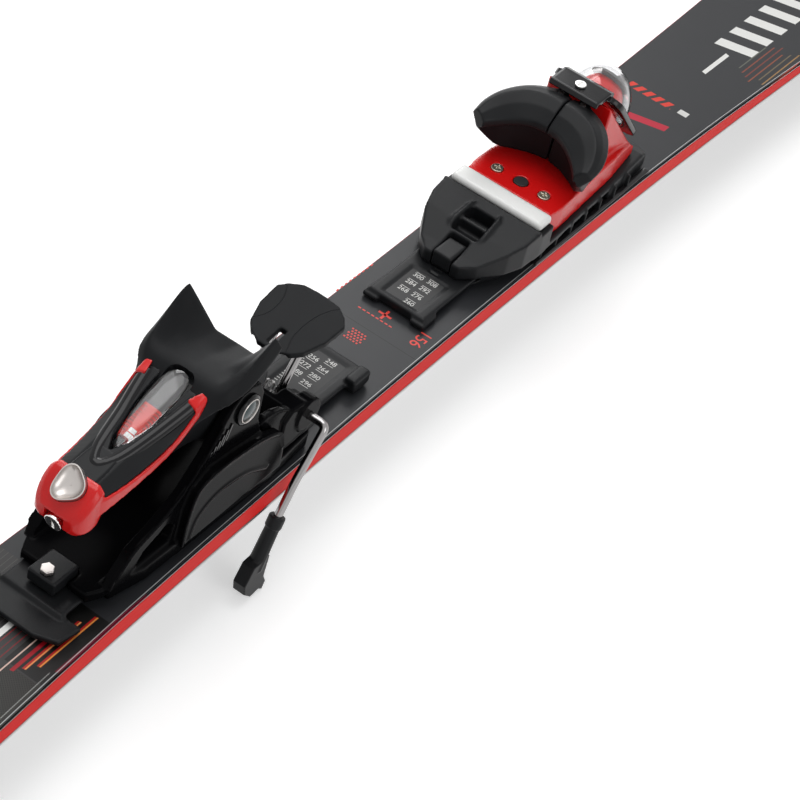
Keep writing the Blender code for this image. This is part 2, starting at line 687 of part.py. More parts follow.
def build_heel_carriage():
    """The sliding carriage of the heel unit with its side arms, pivot pin and caps."""
    plan = [(-294.0, 21.5), (-286.0, 25.5), (-255.0, 31.0), (-150.0, 33.0), (-114.0, 30.5), (-108.0, 24.0)]
    plan = mirrored(plan)
    body = plate("heel_carriage", plan, "XY", 0.6, 12.0, "gloss")
    arm = [(-144.0, 10.0), (-146.0, 23.0), (-155.0, 31.0), (-164.0, 44.0), (-169.5, 58.0), (-169.5, 78.0)]
    arm += [(-174.0, 87.0), (-182.0, 90.0), (-191.0, 89.0), (-198.0, 84.0), (-205.0, 74.0), (-215.0, 60.0)]
    arm += [(-231.0, 44.0), (-252.0, 34.0), (-268.0, 29.0), (-281.0, 17.0), (-284.0, 10.0)]
    loop = [(-264.0, 14.5), (-258.0, 22.5), (-240.0, 29.5), (-233.0, 24.0), (-235.0, 14.5)]
    skirt = [(-144.5, 9.0), (-145.5, 26.0), (-152.0, 40.0), (-166.0, 46.0), (-190.0, 50.0), (-212.0, 52.0)]
    skirt += [(-225.0, 47.0), (-229.5, 34.0), (-231.0, 9.0)]
    for side, sign in (("left", 1.0), ("right", -1.0)):
        span = sorted((sign * 22.8, sign * 28.9))
        join(body, plate(f"carriage_arm_{side}", [arm, loop], "XZ", span[0], span[1]))
        span = sorted((sign * 28.5, sign * 34.5))
        join(body, plate(f"carriage_skirt_{side}", skirt, "XZ", span[0], span[1]))
    for helper in channel("heel", -300.0, -100.0):
        cut(body, helper)
    cut(body, box("heel_latch_well", (-300.0, -9.5, 6.0), (-283.5, 9.5, 20.0)))
    cut(body, box("heel_tail_way", (-300.0, -40.0, -2.0), (-280.0, 40.0, 5.2)))
    x, z = JAW_PIVOT
    cut(body, rod("jaw_pin_bore", (x, -40.0, z), (x, 40.0, z), 3.3))
    rod("heel_pivot_pin", (x, -28.6, z), (x, 28.6, z), 3.0, "steel")
    for side, sign in (("left", 1.0), ("right", -1.0)):
        inner, outer = (x, sign * 29.3, z), (x, sign * 31.6, z)
        rod(f"pivot_cap_{side}", inner, outer, 8.6, "chrome", sides=24, end_radius=7.4)


def build_brake_housing():
    """The brake block on the carriage, with the slot in which the pedal cranks swing."""
    side = [(-142.6, 12.3), (-142.6, 36.0), (-136.0, 41.5), (-124.0, 40.5), (-113.0, 33.0)]
    side += [(-109.0, 24.0), (-109.0, 12.3)]
    body = plate("brake_housing", side, "XZ", -30.0, 30.0, "gloss")
    ear = [(-136.0, 41.5), (-143.0, 46.0), (-152.0, 50.0), (-160.0, 51.5), (-165.4, 49.0), (-162.4, 45.0)]
    ear += [(-153.4, 32.0), (-145.0, 24.5), (-140.0, 24.0)]
    for name, sign in (("left", 1.0), ("right", -1.0)):
        near, far = sorted((sign * 23.2, sign * 28.1))
        join(body, plate(f"housing_ear_{name}", ear, "XZ", near, far))
    cut(body, box("crank_slot", (-132.0, -14.5, 17.0), (-100.0, 14.5, 60.0)))
    x, z = BRAKE_AXLE
    cut(body, rod("brake_axle_bore", (x, -40.0, z), (x, 40.0, z), WIRE_RADIUS + 0.4))
    coil("brake_spring", (x, -5.6, z), (x, 5.6, z), 4.4, 0.6, 6, "steel")


def bend(points, radius, step=math.radians(22.5)):
    """A route with its corners rounded into arcs, as a list of points. Slight corners stay."""
    found = [Vector(points[0])]
    for before, corner, after in zip(points, points[1:], points[2:]):
        before, corner, after = Vector(before), Vector(corner), Vector(after)
        back, ahead = (before - corner).normalized(), (after - corner).normalized()
        turn = math.pi - back.angle(ahead)
        steps = round(turn / step)
        if steps < 2:
            found.append(corner)
            continue
        reach = radius * math.tan(turn / 2)
        centre = corner + (back + ahead).normalized() * (radius / math.cos(turn / 2))
        start, end = corner + back * reach - centre, corner + ahead * reach - centre
        side = (end - start * math.cos(turn)) / math.sin(turn)
        for i in range(steps + 1):
            angle = turn * i / steps
            found.append(centre + start * math.cos(angle) + side * math.sin(angle))
    found.append(Vector(points[-1]))
    return found


def build_brake():
    """The bent brake wire with its two feet, and the pedal hinged on the wire's crank."""
    ax, az = BRAKE_AXLE
    px, pz = PEDAL_HINGE
    half = [(px, CRANK_HALF, pz), (ax, CRANK_HALF, az), (ax, BRAKE_TRACK - 0.4, az)]
    half += [(-141.5, BRAKE_TRACK, 1.0), (-152.8, BRAKE_TRACK, -20.5), (-164.0, BRAKE_TRACK, -46.0)]
    route = [(x, -y, z) for x, y, z in reversed(half)] + half
    tube("brake_wire", bend(route, 4.2), WIRE_RADIUS, "chrome")
    for side, sign in (("left", 1.0), ("right", -1.0)):
        track = sign * BRAKE_TRACK
        top, knee = (-152.6, track, -20.0), (-165.6, track, -49.5)
        foot = rod(f"brake_foot_{side}", top, knee, 4.2, "black", sides=12, end_radius=4.9)
        blade = [(-158.0, -42.0), (-172.0, -42.5), (-178.0, -53.0), (-176.5, -60.5), (-169.5, -67.0)]
        blade += [(-162.5, -66.0), (-158.5, -69.0), (-156.5, -63.5), (-159.5, -57.5)]
        near, far = sorted((track - 4.2, track + 4.2))
        join(foot, plate(f"brake_blade_{side}", blade, "XZ", near, far))
        way = [(-147.5, track, -10.5), (-152.8, track, -20.5), (-164.2, track, -46.4)]
        cut(foot, tube(f"brake_foot_bore_{side}", way, WIRE_RADIUS + 0.4))
    half = [(-126.5, 6.0), (-122.5, 13.5), (-117.0, 18.3), (-103.0, 22.6), (-87.0, 23.4), (-81.5, 19.2)]
    half += [(-76.8, 12.0), (-76.0, 4.0)]
    pedal = plate("brake_pedal", mirrored(half), "XY", 62.8, 66.6, "rubber")
    hinge = place((px, 0.0, pz))
    tilt = Matrix.Translation(hinge) @ Matrix.Rotation(-PEDAL_TILT, 4, "Y") @ Matrix.Translation(-hinge)
    pedal.matrix_world = tilt @ pedal.matrix_world
    cut(pedal, box("pedal_crank_way", (px - 8.0, -12.5, pz - 4.0), (px + 3.0, 12.5, pz + 2.9)))
    for name, y in (("left", CRANK_HALF), ("right", -CRANK_HALF)):
        folded = (px - 40.0, y, pz - 1.5)
        cut(pedal, rod(f"pedal_groove_{name}", (px + 3.0, y, pz), folded, WIRE_RADIUS + 0.5))
    join(pedal, box("pedal_lug", (px - 4.6, -5.0, pz - 4.6), (px + 4.6, 5.0, pz + 5.0), bevel=1.0))
    cut(pedal, rod("pedal_lug_bore", (px, -20.0, pz), (px, 20.0, pz), WIRE_RADIUS + 0.4))
    cut(pedal, box("pedal_slot", (-124.0, -2.2, 50.0), (-111.0, 2.2, 80.0)))


# One jaw ring: its station, and then seven points (y, z, how far forward) from crown to floor.
JAW_RINGS = (
    (-155.0, (0, 78, 0), (13, 85, -8), (20, 91, -8), (28, 114, -15),
     (31.5, 98, -8), (22.3, 90, -5), (22.3, 66, -5)),
    (-172.0, (0, 86, 0), (12, 90, 0), (20.5, 94, 0), (28, 113, -3),
     (32, 97, 0), (22.3, 93, 0), (22.3, 60, 0)),
    (-188.0, (0, 93, 0), (12, 94, 0), (20, 95, 0), (27.5, 104, 0),
     (31.5, 95, 0), (22.3, 91.5, 0), (22.3, 58, 0)),
    (-203.0, (0, 96, 0), (11, 96, 0), (17, 96, 0), (22.5, 97, 0),
     (27, 91, 0), (21.5, 88, 0), (21, 60, 0)),
    (-214.0, (0, 88, 0), (9, 88.5, 0), (13, 88.5, 0), (15.5, 87, 0),
     (17.6, 82, 0), (17.4, 78, 0), (16.5, 61, 0)),
    (-238.0, (0, 79, 0), (7, 79, 0), (10, 78.5, 0), (12, 76, 0),
     (13, 69, 0), (12.8, 65, 0), (12.2, 56, 0)),
    (-263.0, (0, 73, 0), (6, 73, 0), (9, 72.5, 0), (10.5, 71, 0),
     (12, 65, 0), (12, 61, 0), (11.2, 51.5, 0)),
    (-281.0, (0, 68, 0), (6, 68, 0), (8, 67.5, 0), (9.5, 66, 0),
     (11, 59, 0), (11, 56.5, 0), (10.3, 47.5, 0)),
)


def jaw_ring(station, *half):
    """The points of one ring of the heel jaw, both sides of its middle."""
    left = [(station + forward, y, z) for y, z, forward in half]
    right = [(x, -y, z) for x, y, z in reversed(left[1:])]
    return left + [(left[-1][0], 0.0, left[-1][2])] + right


def build_heel_jaw():
    """The horned heel jaw with its spur, window, spring, piston, screw and indicator."""
    half = [[0, 1, 6], [1, 5, 6], [0, 6, 7], [1, 2, 5], [2, 4, 5], [2, 3, 4]]
    mouth = half + [[(14 - i) % 14 for i in reversed(panel)] for panel in half]
    jaw = loft("heel_jaw", [jaw_ring(*ring) for ring in JAW_RINGS], "rubber", first_cap=mouth)
    spur = [(-172.0, 62.0), (-157.0, 74.0), (-148.0, 69.0), (-146.0, 62.0), (-150.0, 57.0), (-166.0, 58.0)]
    join(jaw, plate("jaw_spur", spur, "XZ", -15.0, 15.0))
    x, z = JAW_PIVOT
    cut(jaw, rod("jaw_bore", (x, -40.0, z), (x, 40.0, z), 3.3))
    tail = Vector((SCREW_TAIL[0], 0.0, SCREW_TAIL[1]))
    along = Vector((math.cos(SCREW_SLOPE), 0.0, math.sin(SCREW_SLOPE)))

    def on_axis(run):
        return tuple(tail + along * run)

    cut(jaw, rod("heel_spring_bore", on_axis(-10.0), on_axis(72.0), 6.0))
    low, high = (-255.0, -8.0, 77.0), (-203.5, 8.0, 100.0)
    cut(jaw, box("heel_window_well", low, high, tilt=-WINDOW_SLOPE, about=WINDOW_CENTRE))
    coil("heel_spring", on_axis(16.0), on_axis(58.0), 4.4, 1.0, 9, "steel")
    rod("heel_piston", on_axis(60.0), on_axis(69.0), 5.5, "steel")
    screw = rod("heel_setting_screw", on_axis(-1.2), on_axis(3.0), 5.4, "chrome")
    join(screw, rod("heel_setting_shank", on_axis(2.0), on_axis(13.5), 3.6, sides=12))
    low, high = (-303.0, -0.7, 50.0), (-299.9, 0.7, 58.0)
    cut(screw, box("heel_setting_slot", low, high, tilt=-SCREW_SLOPE, about=on_axis(0.0)))
    window = [(-205.0, 6.6), (-222.0, 7.4), (-238.0, 6.8), (-250.0, 4.4), (-258.5, 0.0)]
    window = window + [(u, -v) for u, v in reversed(window[:-1])]
    pane = plate("heel_window", window, "XY", 84.6, 86.6, "clear")
    pivot = Matrix.Translation(place(WINDOW_CENTRE))
    tilt = pivot @ Matrix.Rotation(-WINDOW_SLOPE, 4, "Y") @ pivot.inverted()
    pane.matrix_world = tilt @ pane.matrix_world
    low, high = (-250.0, -5.0, 80.6), (-228.0, 5.0, 83.4)
    box("heel_indicator", low, high, "red", tilt=-WINDOW_SLOPE, about=WINDOW_CENTRE)


# One lever ring: station, crown height, half width of the flat top, and the skirt's foot (y, z).
LEVER_RINGS = (
    (-213.0, 94.0, 13.5, (18.4, 89.0)),
    (-224.0, 90.0, 12.5, (18.4, 82.0)),
    (-238.0, 84.5, 11.0, (17.0, 73.5)),
    (-263.0, 78.0, 10.0, (15.8, 70.0)),
    (-282.0, 74.5, 9.5, (15.2, 67.0)),
)


# The red strip along the lever: station, inner y, low and high edge.
TRIM_STRIP = (
    (-212.0, 18.8, 88.0, 95.0),
    (-224.0, 18.8, 80.5, 87.5),
    (-238.0, 17.4, 71.0, 76.0),
    (-262.0, 16.6, 65.0, 71.0),
    (-281.0, 15.8, 61.5, 70.5),
    (-287.0, 13.6, 60.0, 70.0),
)


def build_heel_lever():
    """The lever shell over the jaw, its red trim with the end cap, and the pole dimple."""
    rings = []
    for station, crown, flat, foot in LEVER_RINGS:
        half = [(foot[0], foot[1]), (flat, crown)]
        inner = [(flat - 1.2, crown - 3.0), (foot[0] - 2.6, foot[1])]
        outline = half + [(-y, z) for y, z in reversed(half)]
        outline += [(-y, z) for y, z in reversed(inner)] + inner
        rings.append([(station, y, z) for y, z in outline])
    lever = loft("heel_lever", rings, "gloss")
    opening = [(-200.0, 8.4), (-226.0, 8.4), (-240.0, 7.2), (-252.0, 4.8), (-261.0, 0.0)]
    opening = opening + [(u, -v) for u, v in reversed(opening[:-1])]
    cut(lever, plate("lever_opening", opening, "XY", 60.0, 120.0))
    cap_rings = []
    for x, half, low, high in (
        (-282.6, 15.8, 54.0, 77.5),
        (-287.0, 16.4, 51.0, 76.5),
        (-293.0, 16.2, 50.0, 71.5),
        (-298.0, 14.4, 51.0, 66.0),
        (-300.5, 11.0, 54.0, 61.0),
    ):
        corner = min(3.0, (high - low) / 3)
        ring = [(half, low + corner), (half, high - corner), (half - corner, high)]
        ring += [(corner - half, high), (-half, high - corner), (-half, low + corner)]
        ring += [(corner - half, low), (half - corner, low)]
        cap_rings.append([(x, y, z) for y, z in ring])
    trim = loft("lever_trim", cap_rings, "red")
    for side, sign in (("left", 1.0), ("right", -1.0)):
        bands = []
        for x, y, low, high in TRIM_STRIP:
            near, far = sign * y, sign * (y + 1.8)
            bands.append([(x, near, low), (x, far, low), (x, far, high), (x, near, high)])
        join(trim, loft(f"trim_strip_{side}", bands))
    cut(trim, box("trim_screw_notch", (-310.0, -6.4, 40.0), (-278.0, 6.4, 61.0)))
    cut(trim, box("trim_hollow", (-290.0, -12.6, 40.0), (-270.0, 12.6, 70.5)))
    facing = Vector((-0.62, 0.0, 0.78))
    seat = Vector((-291.6, 0.0, 74.6))
    cut(trim, rod("dimple_well", tuple(seat - facing * 4.4), tuple(seat + facing * 12.0), 8.4, sides=20))
    turn = facing.to_track_quat("Z", "Y").to_matrix().to_4x4()
    bowl = [(0.0, -1.6), (4.0, -1.2), (6.8, 0.0), (8.0, 1.6), (8.1, 0.4)]
    bowl += [(7.2, -1.6), (4.4, -3.2), (0.0, -3.6)]
    turned("pole_dimple", bowl, 20, Matrix.Translation(place(seat)) @ turn, "chrome")


def build_heel_latch():
    """The rear latch of the heel unit with its bolt."""
    latch = box("heel_latch", (-304.0, -9.0, 8.0), (-284.0, 9.0, 16.5), "black", bevel=0.8)
    cut(latch, rod("latch_bolt_bore", (-299.0, 0.0, 11.0), (-299.0, 0.0, 20.0), 2.2, sides=12))
    bolt = rod("latch_bolt", (-299.0, 0.0, 16.8), (-299.0, 0.0, 19.4), 4.0, "chrome", sides=6)
    join(bolt, rod("latch_bolt_shank", (-299.0, 0.0, 11.4), (-299.0, 0.0, 17.2), 1.8, sides=12))


# Each moving group: a point on its joint's axis, the group that carries it, and its pieces.
MOVING = {
    "toe_unit": (
        (TOE_PIN[0], 0.0, 0.0),
        None,
        ("toe_plate", "afd_bar", "toe_body", "toe_screw_left", "toe_screw_right", "toe_plug", "toe_bezel")
        + ("bezel_screw", "toe_window", "toe_spring", "toe_piston", "wing_pin_left", "wing_pin_right"),
    ),
    "wing_left": ((TOE_PIN[0], TOE_PIN[1], 51.0), "toe_unit", ("toe_wing_left",)),
    "wing_right": ((TOE_PIN[0], -TOE_PIN[1], 51.0), "toe_unit", ("toe_wing_right",)),
    "toe_latch": ((TOE_LATCH_HINGE[0], 0.0, TOE_LATCH_HINGE[1]), "toe_unit", ("toe_latch",)),
    "toe_screw": ((239.0, 0.0, TOE_SPRING_Z), "toe_unit", ("toe_setting_screw",)),
    "toe_indicator": ((HOUSING_FACE[0], 0.0, HOUSING_FACE[1]), "toe_unit", ("toe_indicator",)),
    "heel_unit": (
        (JAW_PIVOT[0], 0.0, 0.0),
        None,
        ("heel_carriage", "brake_housing", "heel_pivot_pin", "pivot_cap_left", "pivot_cap_right")
        + ("brake_spring",),
    ),
    "heel_jaw": (
        (JAW_PIVOT[0], 0.0, JAW_PIVOT[1]),
        "heel_unit",
        ("heel_jaw", "heel_lever", "lever_trim", "pole_dimple", "heel_window", "heel_spring", "heel_piston"),
    ),
    "heel_screw": ((SCREW_TAIL[0], 0.0, SCREW_TAIL[1]), "heel_jaw", ("heel_setting_screw",)),
    "heel_indicator": (WINDOW_CENTRE, "heel_jaw", ("heel_indicator",)),
    "heel_latch": (
        (HEEL_LATCH_HINGE[0], 0.0, HEEL_LATCH_HINGE[1]),
        "heel_unit",
        ("heel_latch", "latch_bolt"),
    ),
    "brake_arms": (
        (BRAKE_AXLE[0], 0.0, BRAKE_AXLE[1]),
        "heel_unit",
        ("brake_wire", "brake_foot_left", "brake_foot_right"),
    ),
    "brake_pedal": ((PEDAL_HINGE[0], 0.0, PEDAL_HINGE[1]), "brake_arms", ("brake_pedal",)),
}


def hang(thing, carrier):
    """Parents an object to another one without moving it."""
    thing.parent = carrier
    thing.matrix_parent_inverse = carrier.matrix_world.inverted()


def hang_on_axes():
    """Parents each moving piece to an empty on its joint's axis, and each cutter to its piece."""
    axes = {}
    for group, (point, _, _) in MOVING.items():
        axes[group] = bpy.data.objects.new(f"{group}_axis", None)
        axes[group].location = place(point)
        axes[group].empty_display_size = 20.0 * MM
        PARTS.objects.link(axes[group])
    bpy.context.view_layer.update()
    for group, (_, carrier, pieces) in MOVING.items():
        if carrier:
            hang(axes[group], axes[carrier])
        for piece in pieces:
            hang(bpy.data.objects[piece], axes[group])
    for piece in PARTS.objects:
        for modifier in piece.modifiers:
            if modifier.type == "BOOLEAN" and modifier.object.parent is None:
                hang(modifier.object, piece)


def main():
    """Builds every piece of the ski and its binding."""
    build_ski()
    build_rails()
    build_toe_plate()
    build_toe_body()
    for side, sign in (("left", 1.0), ("right", -1.0)):
        build_wing(side, sign)
    build_toe_top()
    build_heel_carriage()
    build_brake_housing()
    build_brake()
    build_heel_jaw()
    build_heel_lever()
    build_heel_latch()
    hang_on_axes()


main()
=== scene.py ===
"""Looks of a carving ski with its alpine binding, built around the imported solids.

Places and sizes are in millimetres in the ski's own frame: +X to the tip, +Y to the
skier's left, +Z up from the running base. Binding pieces give their heights above the deck.
"""

from __future__ import annotations

import functools
import logging
import math
from dataclasses import dataclass, field
from enum import Enum
from typing import Iterable, Sequence

import bmesh
import bpy
from mathutils import Matrix, Vector
from mathutils.geometry import tessellate_polygon


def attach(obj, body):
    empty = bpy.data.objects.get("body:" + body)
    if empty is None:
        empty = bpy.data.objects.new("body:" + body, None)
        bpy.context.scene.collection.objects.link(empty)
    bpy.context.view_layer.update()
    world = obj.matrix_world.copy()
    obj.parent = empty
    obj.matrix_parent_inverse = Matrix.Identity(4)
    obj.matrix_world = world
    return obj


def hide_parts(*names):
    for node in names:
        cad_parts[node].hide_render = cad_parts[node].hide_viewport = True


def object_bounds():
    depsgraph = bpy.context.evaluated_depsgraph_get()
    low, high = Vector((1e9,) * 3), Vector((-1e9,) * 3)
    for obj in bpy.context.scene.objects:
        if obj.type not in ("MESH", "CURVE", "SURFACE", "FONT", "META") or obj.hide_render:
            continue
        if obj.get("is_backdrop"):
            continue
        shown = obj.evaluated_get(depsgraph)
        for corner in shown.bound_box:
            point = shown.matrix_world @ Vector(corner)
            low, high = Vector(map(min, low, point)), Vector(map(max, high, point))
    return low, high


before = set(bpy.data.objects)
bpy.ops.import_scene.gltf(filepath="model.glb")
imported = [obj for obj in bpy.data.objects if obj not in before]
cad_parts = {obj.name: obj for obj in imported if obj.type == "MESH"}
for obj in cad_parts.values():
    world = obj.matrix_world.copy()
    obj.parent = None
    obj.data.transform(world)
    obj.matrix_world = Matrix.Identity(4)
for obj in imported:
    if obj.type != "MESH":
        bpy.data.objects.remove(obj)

LOG = logging.getLogger("carving_ski")
MM = 0.001
DECK = 14.0

Point = tuple[float, float, float]
Flat = tuple[float, float]
Colour = tuple[float, float, float]
Thing = bpy.types.Object
Mesh = bpy.types.Mesh
Tree = bpy.types.NodeTree
Socket = bpy.types.NodeSocket
SIDES = (("left", 1.0), ("right", -1.0))


class Pattern(Enum):
    """How a finish varies over its surface."""

    MOULDED = "moulded"
    POLISHED = "polished"
    BRUSHED = "brushed"
    GRAINED = "grained"
    CLEAR = "clear"


class Plane(Enum):
    """The plane in which a flat outline is drawn."""

    PLAN = "XY"
    SIDE = "XZ"


def above_deck(point: Sequence[float]) -> Vector:
    """A point in mm above the deck, in metres above the running base."""
    return Vector((point[0], point[1], point[2] + DECK)) * MM


# Shader groups


def new_group(
    name: str, inputs: Iterable[tuple[str, str, object]], outputs: Iterable[tuple[str, str]]
) -> tuple[Tree, bpy.types.Node, bpy.types.Node]:
    """Makes an empty shader group with named sockets.

    Args:
        name: The group's name.
        inputs: Name, socket type and default value of each input.
        outputs: Name and socket type of each output.

    Returns:
        The group with its input node and its output node.
    """
    group = bpy.data.node_groups.new(name, "ShaderNodeTree")
    for label, kind, value in inputs:
        socket = group.interface.new_socket(label, in_out="INPUT", socket_type=kind)
        socket.default_value = value
    for label, kind in outputs:
        group.interface.new_socket(label, in_out="OUTPUT", socket_type=kind)
    return group, group.nodes.new("NodeGroupInput"), group.nodes.new("NodeGroupOutput")


def reckoned(tree: Tree, kind: str, operation: str, *values: float | Socket) -> Socket:
    """Adds a math node to a tree.

    Args:
        tree: The tree of a material, a world or a group.
        kind: The node's type, ShaderNodeMath or ShaderNodeVectorMath.
        operation: What it works out.
        values: A number or a socket for each of its first inputs.

    Returns:
        The node's result.
    """
    node = tree.nodes.new(kind)
    node.operation = operation
    for socket, value in zip(node.inputs, values):
        if isinstance(value, Socket):
            tree.links.new(value, socket)
        else:
            socket.default_value = value
    return node.outputs[0]


def scaled(tree: Tree, vector: Socket, factor: float | Socket) -> Socket:
    """Adds a node that multiplies a vector by a number.

    Args:
        tree: The tree of a material or a group.
        vector: The vector's socket.
        factor: The number, or its socket.

    Returns:
        The longer or shorter vector.
    """
    result = reckoned(tree, "ShaderNodeVectorMath", "SCALE", vector)
    socket = result.node.inputs["Scale"]
    if isinstance(factor, Socket):
        tree.links.new(factor, socket)
    else:
        socket.default_value = factor
    return result


class SurfaceVariation:
    """The shader group that gives a plain finish its mottling, grain and uneven gloss."""

    def __init__(self) -> None:
        """Builds the group once."""
        number, colour = "NodeSocketFloat", "NodeSocketColor"
        group, taken, given = new_group(
            "surface_variation",
            (
                ("Colour", colour, (0.5, 0.5, 0.5, 1.0)),
                ("Roughness", number, 0.4),
                ("Patch Scale", number, 60.0),
                ("Patch Depth", number, 0.1),
                ("Grain Scale", number, 1800.0),
                ("Grain Height", number, 0.00002),
                ("Stretch", "NodeSocketVector", (1.0, 1.0, 1.0)),
            ),
            (("Colour", colour), ("Roughness", number), ("Normal", "NodeSocketVector")),
        )
        links, nodes = group.links, group.nodes
        place = nodes.new("ShaderNodeTexCoord").outputs["Object"]
        stretched = reckoned(group, "ShaderNodeVectorMath", "MULTIPLY", place, taken.outputs["Stretch"])
        patches = self._noise(group, stretched, taken.outputs["Patch Scale"], 4.0)
        centred = reckoned(group, "ShaderNodeMath", "SUBTRACT", patches, 0.5)
        depth = taken.outputs["Patch Depth"]
        swing = reckoned(group, "ShaderNodeMath", "MULTIPLY_ADD", centred, depth, 1.0)
        links.new(scaled(group, taken.outputs["Colour"], swing), given.inputs["Colour"])
        gloss = reckoned(group, "ShaderNodeMath", "MULTIPLY", taken.outputs["Roughness"], swing)
        links.new(gloss, given.inputs["Roughness"])
        bump = nodes.new("ShaderNodeBump")
        links.new(taken.outputs["Grain Height"], bump.inputs["Distance"])
        grain = self._noise(group, stretched, taken.outputs["Grain Scale"], 2.0)
        links.new(grain, bump.inputs["Height"])
        links.new(bump.outputs["Normal"], given.inputs["Normal"])
        self.group = group

    @staticmethod
    def _noise(group: Tree, place: Socket, scale: Socket, detail: float) -> Socket:
        """Adds a noise texture.

        Args:
            group: The group that it goes into.
            place: Where the noise is read.
            scale: How fine it is.
            detail: How many finer layers it has.

        Returns:
            The noise's value, about a half.
        """
        noise = group.nodes.new("ShaderNodeTexNoise")
        noise.inputs["Detail"].default_value = detail
        group.links.new(place, noise.inputs["Vector"])
        group.links.new(scale, noise.inputs["Scale"])
        return noise.outputs["Fac"]


VARIATION = SurfaceVariation()
# How far a pattern is drawn out along the ski, and how many of the wood's bands lie in a metre.
STRETCHES = {Pattern.BRUSHED: (0.06, 1.0, 1.0), Pattern.GRAINED: (0.04, 1.0, 1.0)}
WOOD_RINGS = 260.0


@dataclass(frozen=True)
class Finish:
    """One surface finish of the ski or its binding."""

    name: str
    slot: str
    colour: Colour
    roughness: float
    pattern: Pattern = Pattern.MOULDED
    metallic: float = 0.0
    patch_depth: float = 0.25
    grain_height: float = 0.00002
    specular: float = 0.5

    def material(self) -> bpy.types.Material:
        """Makes the finish's material, once.

        Returns:
            A Principled material fed by the surface variation group.
        """
        made = bpy.data.materials.get(self.name)
        if made:
            return made
        made = bpy.data.materials.new(self.name)
        made.use_nodes = True
        nodes, links = made.node_tree.nodes, made.node_tree.links
        shader = nodes["Principled BSDF"]
        shader.inputs["Metallic"].default_value = self.metallic
        shader.inputs["Specular IOR Level"].default_value = self.specular
        if self.pattern is Pattern.CLEAR:
            shader.inputs["Transmission Weight"].default_value = 1.0
            shader.inputs["IOR"].default_value = 1.45
        vary = nodes.new("ShaderNodeGroup")
        vary.node_tree = VARIATION.group
        vary.inputs["Colour"].default_value = (*self.colour, 1.0)
        vary.inputs["Roughness"].default_value = self.roughness
        vary.inputs["Patch Depth"].default_value = self.patch_depth
        vary.inputs["Grain Height"].default_value = self.grain_height
        vary.inputs["Stretch"].default_value = STRETCHES.get(self.pattern, (1.0, 1.0, 1.0))
        if self.pattern is Pattern.GRAINED:
            vary.inputs["Patch Scale"].default_value = WOOD_RINGS
        links.new(vary.outputs["Colour"], shader.inputs["Base Color"])
        links.new(vary.outputs["Roughness"], shader.inputs["Roughness"])
        links.new(vary.outputs["Normal"], shader.inputs["Normal"])
        return made


SATIN_BLACK = Finish("satin_black_moulding", "satin_black", (0.0085, 0.009, 0.01), 0.38,
                     specular=0.14)
GLOSS_BLACK = Finish("gloss_black_moulding", "gloss_black", (0.004, 0.004, 0.005), 0.12, Pattern.POLISHED,
                     specular=0.24, grain_height=0.000004)
# A darker copy of the gloss black that reflects almost nothing: painted shade for the side faces of the
# carriage and the brake housing.
SHADED_GLOSS_BLACK = Finish("shaded_gloss_black_moulding", "gloss_black", (0.003, 0.003, 0.0035), 0.16, Pattern.POLISHED,
                    specular=0.02, grain_height=0.000006)
SMOKED = Finish("smoked_moulding", "gloss_black", (0.011, 0.01, 0.011), 0.18, Pattern.POLISHED,
                specular=0.3, grain_height=0.000004)
MATTE_DARK = Finish("matte_dark_moulding", "matte_dark", (0.009, 0.0095, 0.0105), 0.5, grain_height=0.00003,
                    specular=0.09)
RED = Finish("red_moulding", "red_plastic", (0.62, 0.006, 0.006), 0.26, Pattern.POLISHED,
             specular=0.35, patch_depth=0.12, grain_height=0.000005)
SIDEWALL = Finish("red_sidewall", "sidewall_red", (0.7, 0.02, 0.018), 0.42, Pattern.BRUSHED,
                  patch_depth=0.12, specular=0.08)
WHITE = Finish("white_slider", "white_plastic", (0.74, 0.745, 0.73), 0.34, patch_depth=0.05)
CHROME = Finish("bright_chrome", "chrome", (0.78, 0.77, 0.76), 0.13, Pattern.POLISHED, metallic=1.0,
                grain_height=0.000003)
# Chrome darkened to a mid grey: painted shade for the dark surroundings that the brake wire reflects.
DIMMED_WIRE_CHROME = Finish("dimmed_wire_chrome", "chrome", (0.3, 0.29, 0.29), 0.16, Pattern.POLISHED, metallic=1.0,
                     grain_height=0.000003)
SATIN_CHROME = Finish("satin_chrome", "chrome", (0.5, 0.47, 0.45), 0.34, Pattern.POLISHED, metallic=1.0,
                      grain_height=0.00001)
ZINC = Finish("zinc_plate", "zinc_screw", (0.5, 0.46, 0.38), 0.34, Pattern.POLISHED, metallic=1.0)
EDGE_STEEL = Finish("ground_steel", "edge_steel", (0.42, 0.41, 0.41), 0.32, Pattern.BRUSHED, metallic=1.0)
ALLOY = Finish("alloy_sheet", "metal_sheet", (0.6, 0.6, 0.62), 0.35, Pattern.BRUSHED, metallic=1.0)
WOOD = Finish("laminated_wood", "core_wood", (0.52, 0.34, 0.17), 0.55, Pattern.GRAINED, patch_depth=0.7)
BASE = Finish("sintered_base", "base_plastic", (0.014, 0.014, 0.015), 0.5, Pattern.BRUSHED, patch_depth=0.5)
CLEAR = Finish("clear_moulding", "clear_plastic", (0.96, 0.96, 0.97), 0.03, Pattern.CLEAR, patch_depth=0.02,
               grain_height=0.0, specular=0.16)
SCALE_RED = Finish("scale_red", "red_plastic", (0.6, 0.016, 0.004), 0.4, specular=0.05)
PALE_PRINT = Finish("pale_print", "white_plastic", (0.62, 0.62, 0.6), 0.5)
RED_PRINT = Finish("red_print", "red_plastic", (0.66, 0.035, 0.022), 0.5)
GREY_CARD = Finish("grey_card", "matte_dark", (0.07, 0.07, 0.069), 0.5, specular=0.1)
SHADOW = Finish("recess_black", "satin_black", (0.004, 0.004, 0.0045), 0.6)
DECK_PRINT = Finish("deck_lacquer_print", "deck_lacquer", (0.02, 0.021, 0.0235), 0.36, specular=0.2,
                    patch_depth=0.15, grain_height=0.000008)
JEWEL = Finish("dark_glass_bead", "clear_plastic", (0.006, 0.03, 0.034), 0.08, Pattern.POLISHED,
               patch_depth=1.6, grain_height=0.0)


# Meshes


